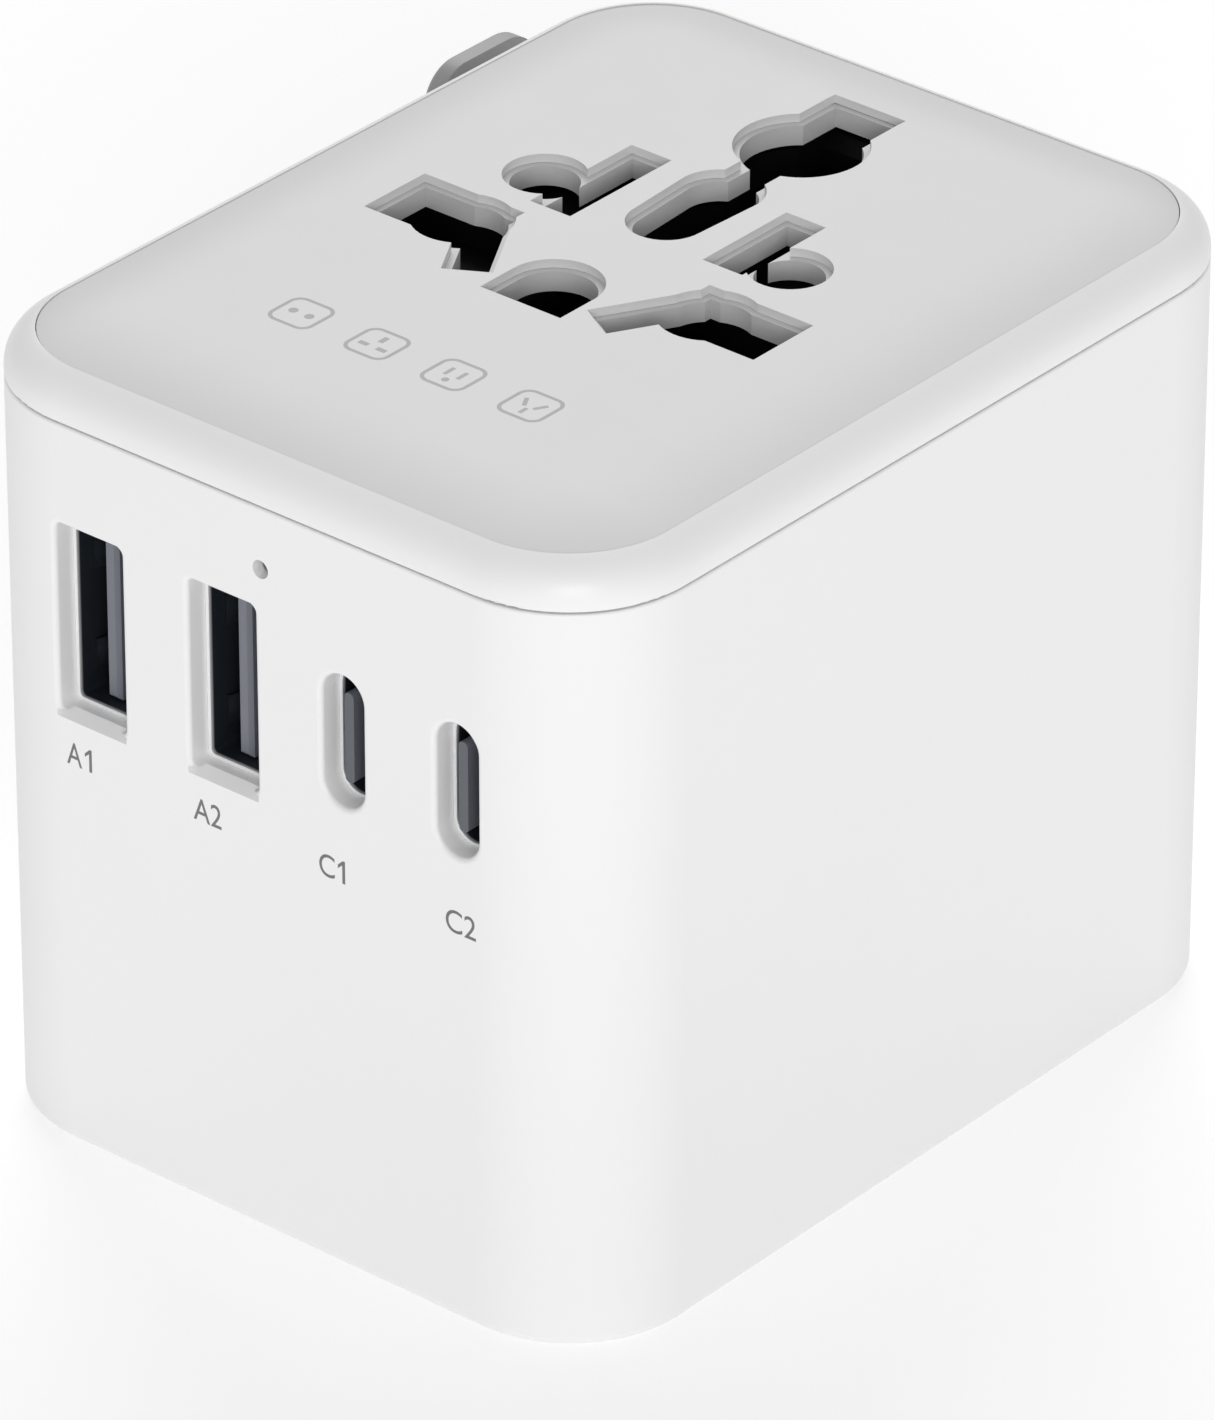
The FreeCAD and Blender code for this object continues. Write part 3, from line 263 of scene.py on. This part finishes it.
# %% A drawn or rolled metal
def metal(name, colour, dull, rough, stretch=(9000.0, 9000.0, 260.0), wear=0.6, depth_um=0.8):
    material, tree, shader, vector = blank(name)
    lines = place(tree, hairlines, Vector=vector, Stretch=stretch, Amount=wear)
    cloud = noise(tree, vector, 520.0, 3.0)
    mixed = maths(tree, "MULTIPLY_ADD", cloud, 0.25, lines["Mask"], clamp=True)
    feed(tree, shader.inputs["Base Color"], blend(tree, mixed, colour, dull))
    feed(tree, shader.inputs["Roughness"], maths(tree, "MULTIPLY_ADD", lines["Mask"], 0.22, rough))
    shader.inputs["Metallic"].default_value = 1.0
    relief(tree, shader, lines["Height"], depth_um)
    return material


# %% Pins, contacts, springs and screws
pin_metal = metal("pin_washed_brass", (0.74, 0.65, 0.42, 1), (0.55, 0.47, 0.29, 1), 0.24)
contact_metal = metal("contact_brass", (0.80, 0.62, 0.28, 1), (0.52, 0.38, 0.16, 1), 0.28)
spring_steel = metal("spring_steel", (0.62, 0.63, 0.65, 1), (0.40, 0.41, 0.43, 1), 0.26,
                     (3000.0, 3000.0, 3000.0))
gold_flash = metal("gold_flash", (0.92, 0.70, 0.30, 1), (0.70, 0.50, 0.20, 1), 0.2,
                   (9000.0, 300.0, 9000.0), 0.3)
print("metals made with", hairlines.users, "uses of the hairline group")

# %% [markdown]
# ## The metal sleeves in the ports
#
# Each port holds a folded steel sleeve.  Its front edge is bright from the press, while behind
# it the steel's colour is painted dark as painted shade inside the port.  Two separate pieces
# would need a joint that the real sleeve doesn't have, so one material runs from bright to
# painted shade within a fraction of a millimetre behind the lip, with the depth-fade group.

# %% Bright lip, painted shade inside
def sleeve(name, node):
    """Sleeve metal whose bright edge follows the front of the given piece, with painted shade behind it."""
    lip_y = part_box(node)[0].y
    material, tree, shader, vector = blank(name)
    # painted shade: 0 at the lip, 1 a fraction of a millimetre behind it, standing in for the shade inside the
    # port
    painted_shade = place(tree, depth_fade, Vector=vector, Start=lip_y + 0.02 * MM, End=lip_y + 0.30 * MM)["Mask"]
    lines = place(tree, hairlines, Vector=vector, Stretch=(9000.0, 300.0, 9000.0), Amount=0.5)
    bright = blend(tree, lines["Mask"], (0.96, 0.96, 0.97, 1), (0.86, 0.87, 0.89, 1))
    # the dark colour is painted shade inside the sleeve; metallic and roughness follow the same mask
    feed(tree, shader.inputs["Base Color"], blend(tree, painted_shade, bright, (0.018, 0.023, 0.030, 1)))
    feed(tree, shader.inputs["Metallic"], remap(tree, painted_shade, 0.0, 1.0, 0.3, 0.35))
    feed(tree, shader.inputs["Roughness"], remap(tree, painted_shade, 0.0, 1.0, 0.22, 0.42))
    relief(tree, shader, lines["Height"], 0.6)
    print(name, "lip at y =", round(lip_y / MM, 2), "mm")
    return material


wide_sleeve = sleeve("wide_sleeve_steel", "usb_a1_shell")
small_sleeve = sleeve("small_sleeve_steel", "usb_c1_shell")

# %% [markdown]
# ## What sits inside the casing
#
# The boards, the transformer and the fuse are seen only when the casing is opened, yet each
# has a finish of its own: solder mask over copper tracks, sintered ferrite, winding tape, a
# pale stripe on a capacitor's sleeve.  Each takes one or two texture nodes on top of the
# same helpers.

# %% Circuit board: solder mask with tracks showing through
board_green, tree, shader, vector = blank("board_green")
track = tree.nodes.new("ShaderNodeTexBrick")
track.inputs["Scale"].default_value = 260.0
track.inputs["Mortar Size"].default_value = 0.018
feed(tree, track.inputs["Vector"], vector)
feed(tree, track.inputs["Color1"], (0.012, 0.085, 0.035, 1))
feed(tree, track.inputs["Color2"], (0.010, 0.070, 0.030, 1))
feed(tree, track.inputs["Mortar"], (0.03, 0.16, 0.07, 1))
feed(tree, shader.inputs["Base Color"], track.outputs["Color"])
feed(tree, shader.inputs["Roughness"], remap(tree, noise(tree, vector, 900.0), 0.3, 0.7, 0.28, 0.4))
relief(tree, shader, track.outputs["Fac"], 12.0)
print("board material ready")

# %% Capacitor sleeve: dark film with a pale stripe down one side
can_film, tree, shader, vector = blank("can_film")
spot = tree.nodes.new("ShaderNodeSeparateXYZ")
feed(tree, spot.inputs[0], vector)
away = maths(tree, "ABSOLUTE", spot.outputs["X"])
stripe = maths(tree, "GREATER_THAN", away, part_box("capacitors")[1].x - 0.35 * MM)
feed(tree, shader.inputs["Base Color"], blend(tree, stripe, (0.02, 0.03, 0.08, 1), (0.55, 0.58, 0.62, 1)))
feed(tree, shader.inputs["Roughness"], remap(tree, noise(tree, vector, 700.0), 0.3, 0.7, 0.22, 0.34))
print("capacitor film ready")

# %% Ferrite, tape, ceramic, film and the clear light pipe
ferrite_dull = plastic("ferrite_dull", grey(0.035), grey(0.06), 0.62, 0.25, 9.0, gloss=0.4)
winding_tape = plastic("winding_tape", (0.78, 0.56, 0.05, 1), (0.70, 0.48, 0.04, 1), 0.3, 0.5, 5.0)
ceramic_white = plastic("ceramic_white", (0.80, 0.78, 0.72, 1), (0.74, 0.71, 0.64, 1), 0.5, 0.2, 3.0)
barrier_card = plastic("barrier_card", (0.86, 0.84, 0.76, 1), (0.80, 0.78, 0.70, 1), 0.45, 0.3, 4.0)
pipe_clear = plastic("pipe_clear", grey(0.30), grey(0.27), 0.24, 0.1, 0.8)
pipe_clear.node_tree.nodes["Principled BSDF"].inputs["Transmission Weight"].default_value = 0.45
print("inner finishes ready")

# %% [markdown]
# ## Dress the CAD pieces
#
# A CAD piece has one material slot.  A table from finish to pieces is easier to read and to
# check than sixty separate lines, and the loop complains if a piece was forgotten.

# %% Finish by piece
finishes = {
    white_satin: ["body_shell", "plug_plate"],
    cover_two_tone: ["top_cover"],
    plate_grey: ["socket_plate"],
    knob_grey: ["knob_grip"],
    shutter_black: ["shutter_frame", "front_shutter", "right_shutter", "left_shutter", "contact_block"],
    carriage_black: ["uk_carriage", "eu_carriage", "us_carriage", "knob_stem", "lane_guide", "lane_shield",
                     "line_blade_rotor", "neutral_blade_rotor", "fuse_holder", "rectifier"],
    pin_sleeve_black: ["uk_pin_sleeves", "eu_pin_sleeves"],
    pin_metal: ["uk_line_pin", "uk_neutral_pin", "uk_earth_pin", "eu_line_pin", "eu_neutral_pin",
                "line_blade", "neutral_blade"],
    contact_metal: ["line_contact", "neutral_contact", "earth_contact",
                    "line_rail", "neutral_rail", "earth_rail"],
    spring_steel: ["front_shutter_springs", "right_shutter_spring", "left_shutter_spring", "casing_screws",
                   "fuse_clips"],
    wide_sleeve: ["usb_a1_shell", "usb_a2_shell"],
    small_sleeve: ["usb_c1_shell", "usb_c2_shell"],
    tongue_slate: ["usb_a1_tongue", "usb_a2_tongue"],
    small_tongue: ["usb_c1_tongue", "usb_c2_tongue"],
    board_green: ["usb_board", "power_board"],
    can_film: ["capacitors"],
    ferrite_dull: ["transformer_core"],
    winding_tape: ["transformer_winding"],
    ceramic_white: ["mains_fuse", "status_led"],
    barrier_card: ["safety_barrier"],
    pipe_clear: ["light_pipe"],
}
dressed = set()
for material, names in finishes.items():
    for name in names:
        nodes[name].data.materials[0] = material
        dressed.add(name)
print("dressed", len(dressed), "pieces, forgotten:", sorted(set(nodes) - dressed))

# %% [markdown]
# ## Printed marks
#
# The ports carry small printed designations and the plate carries one printed row.  Pad
# printing is a film of ink about a hundredth of a millimetre thick.  An image would lose
# its edges close up, so each mark is a real, very thin slab of ink: an outline curve or a
# text object, given its thickness and made a mesh before it is put in place.  The row on
# the plate is a set of plain plug outlines that says which plugs fit.

# %% Ink, and a way to lay a flat drawing on a face
ink_grey = plastic("ink_grey", grey(0.165), grey(0.15), 0.5, 0.1, 0.8)
plate_ink = plastic("plate_ink", grey(0.38), grey(0.36), 0.42, 0.1, 0.8)
INK = 0.002 * MM


def as_mesh(name, curve):
    """Plain mesh from a curve or text."""
    carrier = bpy.data.objects.new(name, curve)
    bpy.context.scene.collection.objects.link(carrier)
    bpy.context.view_layer.update()
    mesh = bpy.data.meshes.new_from_object(carrier.evaluated_get(bpy.context.evaluated_depsgraph_get()))
    bpy.data.objects.remove(carrier)
    return mesh


def piece(name, mesh, material, body):
    """Object at the origin for a finished mesh, riding on a body."""
    mesh.name = name
    mesh.materials.clear()
    mesh.materials.append(material)
    made = bpy.data.objects.new(name, mesh)
    bpy.context.scene.collection.objects.link(made)
    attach(made, body)
    return made


def fit(mesh, low, high, face):
    """Scale a flat mesh so that its outline fills low..high, then turn it onto a face."""
    corners = [v.co for v in mesh.vertices]
    x0, x1 = min(c.x for c in corners), max(c.x for c in corners)
    y0, y1 = min(c.y for c in corners), max(c.y for c in corners)
    sx, sy = (high[0] - low[0]) / (x1 - x0), (high[1] - low[1]) / (y1 - y0)
    place_flat = Matrix.Translation((low[0] - x0 * sx, low[1] - y0 * sy, 0)) @ Matrix.Diagonal((sx, sy, 1, 1))
    mesh.transform(face @ place_flat)
    mesh.update()


# %% Port designations: A for the wide ports, C for the small ones
front_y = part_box("body_shell")[0].y
usb_face = Matrix(((1, 0, 0, 0), (0, 0, -1, front_y), (0, 1, 0, 0), (0, 0, 0, 1)))
CAP_LOW, CAP_HIGH = 26.72 * MM, 28.26 * MM
designations = {"A1": (-15.72, -13.72), "A2": (-5.62, -3.42), "C1": (4.24, 6.25), "C2": (14.0, 16.3)}
ONE = [(0.62, 0), (0.62, 1), (0.44, 1), (0.06, 0.76), (0.06, 0.60), (0.40, 0.80), (0.40, 0)]
DIGIT_SHARE, HALF_GAP = 0.34, 0.12


def flat_drawing(name):
    curve = bpy.data.curves.new(name, "CURVE")
    curve.dimensions, curve.fill_mode, curve.extrude = "2D", "BOTH", INK
    return curve


def loop(curve, points):
    spline = curve.splines.new("POLY")
    spline.points.add(len(points) - 1)
    for point, (x, y) in zip(spline.points, points):
        point.co = (x, y, 0, 1)
    spline.use_cyclic_u = True


def letters(name, words):
    text = bpy.data.curves.new(name, "FONT")
    text.body, text.size, text.extrude, text.resolution_u = words, 2 * MM, INK, 8
    text.offset = 0.004 * MM
    return as_mesh(name, text)


def digit_one(name):
    """The built-in font's 1 is a bare bar, so this one is drawn with a flag."""
    drawing = flat_drawing(name)
    loop(drawing, [(x * MM, y * MM) for x, y in ONE])
    return as_mesh(name, drawing)


for words, (left, right) in designations.items():
    if words.endswith("1"):
        split = right - (right - left) * DIGIT_SHARE
        parts = [(letters, words[0], left, split - HALF_GAP), (digit_one, "", split + HALF_GAP, right)]
    else:
        parts = [(letters, words, left, right)]
    for k, (draw, body, x0, x1) in enumerate(parts):
        name = f"mark_{words}" + ("_digit" if k else "")
        mark = draw(name, body) if body else draw(name)
        fit(mark, (x0 * MM, CAP_LOW), (x1 * MM, CAP_HIGH), usb_face)
        piece(name, mark, ink_grey, "casing")
print("marks:", list(designations), "cap height", round((CAP_HIGH - CAP_LOW) / MM, 2), "mm")

# %% [markdown]
# The printed row shows four plug outlines: two round pins, three square pins, two upright
# blades, and two slanted blades.  Every outline is a closed loop of points on one flat
# curve, because a flat filled curve punches inner loops out of outer ones by itself.


# %% Points round a box with rounded corners
def rounded_box(cx, cy, w, h, r, turn=0.0, steps=8):
    """Points round a box with rounded corners, turned about its own centre."""
    points = []
    for k, (sx, sy) in enumerate(((1, 1), (-1, 1), (-1, -1), (1, -1))):
        for i in range(steps + 1):
            a = math.radians(90 * k + 90 * i / steps)
            x = sx * (w / 2 - r) + r * math.cos(a)
            y = sy * (h / 2 - r) + r * math.sin(a)
            points.append((cx + x * math.cos(turn) - y * math.sin(turn),
                           cy + x * math.sin(turn) + y * math.cos(turn)))
    return points


# %% The row of plug outlines on the plate
SIGN = 3.3 * MM
LINE = 0.26 * MM
signs = [
    [(-0.62, 0.0, 0.62, 0.62, 0.31, 0), (0.62, 0.0, 0.62, 0.62, 0.31, 0)],
    [(-0.68, -0.42, 0.72, 0.38, 0.03, 0), (0.68, -0.42, 0.72, 0.38, 0.03, 0), (0.0, 0.6, 0.38, 0.72, 0.03, 0)],
    [(-0.5, 0.2, 0.28, 0.95, 0.03, 0), (0.5, 0.2, 0.28, 0.95, 0.03, 0), (0.0, -0.75, 0.5, 0.5, 0.25, 0)],
    [(-0.58, 0.2, 0.28, 0.95, 0.03, 0.52), (0.58, 0.2, 0.28, 0.95, 0.03, -0.52), (0.0, -0.7, 0.28, 0.7, 0.03, 0)],
]
plate_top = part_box("socket_plate")[1].z
row_y, row_x, pitch = -17.85 * MM, -0.1 * MM, 5.9 * MM
drawing = flat_drawing("plug_signs")
for i, holes in enumerate(signs):
    cx = row_x + (i - 1.5) * pitch
    loop(drawing, rounded_box(cx, row_y, SIGN, SIGN, 0.85 * MM))
    loop(drawing, rounded_box(cx, row_y, SIGN - 2 * LINE, SIGN - 2 * LINE, 0.85 * MM - LINE)[::-1])
    for x, y, w, h, r, turn in holes:
        loop(drawing, rounded_box(cx + x * MM, row_y + y * MM, w * MM, h * MM, r * MM, turn))
mesh = as_mesh("plug_signs", drawing)
mesh.transform(Matrix.Translation((0, 0, plate_top)))
piece("plug_signs", mesh, plate_ink, "casing")
print(len(signs), "plug outlines,", round(3 * pitch / MM + SIGN / MM, 1), "mm long")

# %% [markdown]
# ## Contact leaves and spring fingers
#
# Inside the ports, rows of bowed metal leaves do the work: gold-flashed contacts on the
# tongues, and spring fingers in the wide sleeves.  They are all one shape at different
# sizes, repeated at an even step, which is just what Geometry Nodes is for.  The tree bows
# a short curve, gives it a flat section, copies it along a line, and ends in real geometry
# with its material, because instances don't survive the export.

# %% Build the leaf row tree once
leaf_row = bpy.data.node_groups.new("leaf row", "GeometryNodeTree")
leaf_row.interface.new_socket("Geometry", in_out="OUTPUT", socket_type="NodeSocketGeometry")
LEAF_INPUTS = {}
for label, kind in (("Count", "Int"), ("Start", "Vector"), ("Step", "Vector"), ("Length", "Float"),
                    ("Width", "Float"), ("Thickness", "Float"), ("Bow", "Float"), ("Finish", "Material")):
    socket = leaf_row.interface.new_socket(label, in_out="INPUT", socket_type="NodeSocket" + kind)
    LEAF_INPUTS[label] = socket.identifier
given = leaf_row.nodes.new("NodeGroupInput").outputs


def geometry_node(kind, settings=None, **links):
    """Add a node to the leaf row tree; keywords are its inputs, with _ for a space."""
    node = leaf_row.nodes.new("GeometryNode" + kind)
    for key, value in (settings or {}).items():
        setattr(node, key, value)
    for label, value in links.items():
        feed(leaf_row, node.inputs[label.replace("_", " ")], value)
    return node.outputs[0]


middle, tip = (leaf_row.nodes.new("ShaderNodeCombineXYZ") for _ in range(2))
feed(leaf_row, middle.inputs["X"], given["Bow"])
feed(leaf_row, middle.inputs["Y"], maths(leaf_row, "MULTIPLY", given["Length"], 0.5))
feed(leaf_row, tip.inputs["Y"], given["Length"])
spine = geometry_node("CurveQuadraticBezier", Resolution=10, Start=(0, 0, 0), Middle=middle.outputs[0],
                      End=tip.outputs[0])
spine = geometry_node("SetCurveNormal", {"mode": "Z_UP"}, Curve=spine)
section = geometry_node("CurvePrimitiveQuadrilateral", Width=given["Thickness"], Height=given["Width"])
leaf = geometry_node("CurveToMesh", Curve=spine, Profile_Curve=section, Fill_Caps=True)
places = geometry_node("MeshLine", {"mode": "OFFSET", "count_mode": "TOTAL"}, Count=given["Count"],
                       Start_Location=given["Start"], Offset=given["Step"])
row = geometry_node("InstanceOnPoints", Points=places, Instance=leaf)
row = geometry_node("RealizeInstances", Geometry=row)
row = geometry_node("SetMaterial", Geometry=row, Material=given["Finish"])
feed(leaf_row, leaf_row.nodes.new("NodeGroupOutput").inputs["Geometry"], row)
print("tree:", leaf_row.name, "inputs:", list(LEAF_INPUTS))


# %% Make a row of leaves as a plain piece
def leaves(name, material, slot, **sizes):
    """One row of bowed leaves; sizes are the tree's inputs, in metres."""
    carrier = bpy.data.objects.new(name, bpy.data.meshes.new(name))
    bpy.context.scene.collection.objects.link(carrier)
    modifier = carrier.modifiers.new("leaf row", "NODES")
    modifier.node_group = leaf_row
    for label, value in {**sizes, "Finish": material}.items():
        modifier[LEAF_INPUTS[label]] = value
    bpy.context.view_layer.update()
    mesh = bpy.data.meshes.new_from_object(carrier.evaluated_get(bpy.context.evaluated_depsgraph_get()))
    bpy.data.objects.remove(carrier)
    return piece(name, mesh, material, "casing")


def span(made):
    """Size of a piece in millimetres, to print."""
    corners = [v.co for v in made.data.vertices]
    return [round((max(c[i] for c in corners) - min(c[i] for c in corners)) / MM, 2) for i in range(3)]


# %% Contacts on the tongues and fingers in the wide sleeves
for port in ("a1", "a2"):
    low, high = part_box(f"usb_{port}_tongue")
    z = (low.z + high.z) / 2
    made = leaves(f"usb_{port}_contacts", gold_flash, "contact_brass", Count=4,
                  Start=(low.x - 0.01 * MM, low.y + 0.9 * MM, z - 3.3 * MM), Step=(0.0, 0.0, 2.2 * MM),
                  Length=8.0 * MM, Width=1.0 * MM, Thickness=0.12 * MM, Bow=-0.5 * MM)
    print(made.name, span(made), "mm")
    low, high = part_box(f"usb_{port}_shell")
    made = leaves(f"usb_{port}_fingers", wide_sleeve, "steel", Count=2,
                  Start=(low.x + 0.36 * MM, low.y + 1.4 * MM, z - 3.4 * MM), Step=(0.0, 0.0, 6.8 * MM),
                  Length=6.5 * MM, Width=2.0 * MM, Thickness=0.15 * MM, Bow=1.1 * MM)
    print(made.name, span(made), "mm")
for port in ("c1", "c2"):
    low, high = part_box(f"usb_{port}_tongue")
    for side, x in (("left", low.x - 0.005 * MM), ("right", high.x + 0.005 * MM)):
        made = leaves(f"usb_{port}_contacts_{side}", gold_flash, "contact_brass", Count=12,
                      Start=(x, low.y + 2.6 * MM, (low.z + high.z) / 2 - 2.75 * MM),
                      Step=(0.0, 0.0, 0.5 * MM),
                      Length=5.0 * MM, Width=0.25 * MM, Thickness=0.04 * MM, Bow=0.0)
print("smallest contacts:", span(made), "mm")

# %% [markdown]
# ## Floor, light and camera
#
# The adapter stands on a plain pale floor that melts into a white surround.  The floor has
# an opening under the casing, smaller than its outline, so the plug pins can come out
# without cutting through it, and it is clear from below so that the underside can be seen.
# It gives off a little light of its own, as a white table under studio lamps seems to.
# Even white light from everywhere gives the flat, shadowless white.  A soft box in front, a
# little to the right, draws the pale band down the corner; a small one beside it makes the
# highlight on the rim; and a wide low one behind lifts the middle of the crowned plate and
# leaves its front slopes darker.

# %% Floor with an opening under the casing
floor_mesh = bpy.data.meshes.new("floor")
low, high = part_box("body_shell")
opening = rounded_box(0, 0, high.x - low.x - 4 * MM, high.y - low.y - 4 * MM, 7 * MM)
far = [(3 * math.copysign(1, x), 3 * math.copysign(1, y)) for x, y in opening]
count = len(opening)
floor_mesh.from_pydata([(x, y, 0) for x, y in opening + far], [],
                       [(i, i + count, (i + 1) % count + count, (i + 1) % count) for i in range(count)])
floor = bpy.data.objects.new("floor", floor_mesh)
bpy.context.scene.collection.objects.link(floor)

floor_white, tree, shader, vector = blank("floor_white")
feed(tree, shader.inputs["Base Color"], blend(tree, noise(tree, vector, 8.0), grey(0.93), grey(0.925)))
shader.inputs["Roughness"].default_value = 0.7
shader.inputs["Specular IOR Level"].default_value = 0.1
shader.inputs["Emission Color"].default_value = (1, 1, 1, 1)
shader.inputs["Emission Strength"].default_value = 0.24
clear = tree.nodes.new("ShaderNodeBsdfTransparent")
one_sided = tree.nodes.new("ShaderNodeMixShader")
geometry = tree.nodes.new("ShaderNodeNewGeometry")
output = next(n for n in tree.nodes if n.type == "OUTPUT_MATERIAL")
feed(tree, one_sided.inputs[0], geometry.outputs["Backfacing"])
tree.links.new(shader.outputs[0], one_sided.inputs[1])
tree.links.new(clear.outputs[0], one_sided.inputs[2])
tree.links.new(one_sided.outputs[0], output.inputs["Surface"])
floor_mesh.materials.append(floor_white)
print("floor normal up:", all(p.normal.z > 0.9 for p in floor_mesh.polygons))

# %% White surround
scene = bpy.context.scene
scene.view_settings.view_transform = "Standard"
world = bpy.data.worlds.new("white_surround")
world.use_nodes = True
backdrop = world.node_tree.nodes["Background"]
backdrop.inputs["Color"].default_value = (1, 1, 1, 1)
backdrop.inputs["Strength"].default_value = 0.53
scene.world = world
print("surround strength", round(backdrop.inputs["Strength"].default_value, 2))


# %% Soft boxes
def direction(azimuth, elevation):
    """Unit vector towards a compass place: azimuth 0 is the USB side, 90 the right side."""
    a, e = math.radians(azimuth), math.radians(elevation)
    return Vector((math.sin(a) * math.cos(e), -math.cos(a) * math.cos(e), math.sin(e)))


aim = Vector((0, 0, 0.027))


def soft_box(name, azimuth, elevation, distance, size, power):
    lamp = bpy.data.lights.new(name, "AREA")
    lamp.shape, lamp.size, lamp.energy = "DISK", size, power
    made = bpy.data.objects.new(name, lamp)
    towards = direction(azimuth, elevation)
    made.location = aim + towards * distance
    made.rotation_euler = towards.to_track_quat("Z", "Y").to_euler()
    scene.collection.objects.link(made)
    print(name, "at", [round(v, 2) for v in made.location], "m,", power, "W")


soft_box("corner_box", 42, 18, 1.2, 0.45, 4.1)
soft_box("spark_box", 52, 16, 1.2, 0.12, 0.4)
soft_box("back_box", 220, 38, 1.5, 1.2, 7.9)

# %% Camera: looking down at the corner between the USB side and the right side
CAMERA_AIM = Vector((3.589, -4.843, 25.54)) * MM
CAMERA_DISTANCE = 669.73 * MM
lens = bpy.data.cameras.new("camera")
lens.sensor_width, lens.lens = 36.0, 282.0
lens.clip_start, lens.clip_end = 0.01, 20.0
camera = bpy.data.objects.new("camera", lens)
back = direction(40.0, 30.16)
camera.location = CAMERA_AIM + back * CAMERA_DISTANCE
camera.rotation_euler = back.to_track_quat("Z", "Y").to_euler()
scene.collection.objects.link(camera)
scene.camera = camera
print("camera at", [round(v, 3) for v in camera.location], "m")
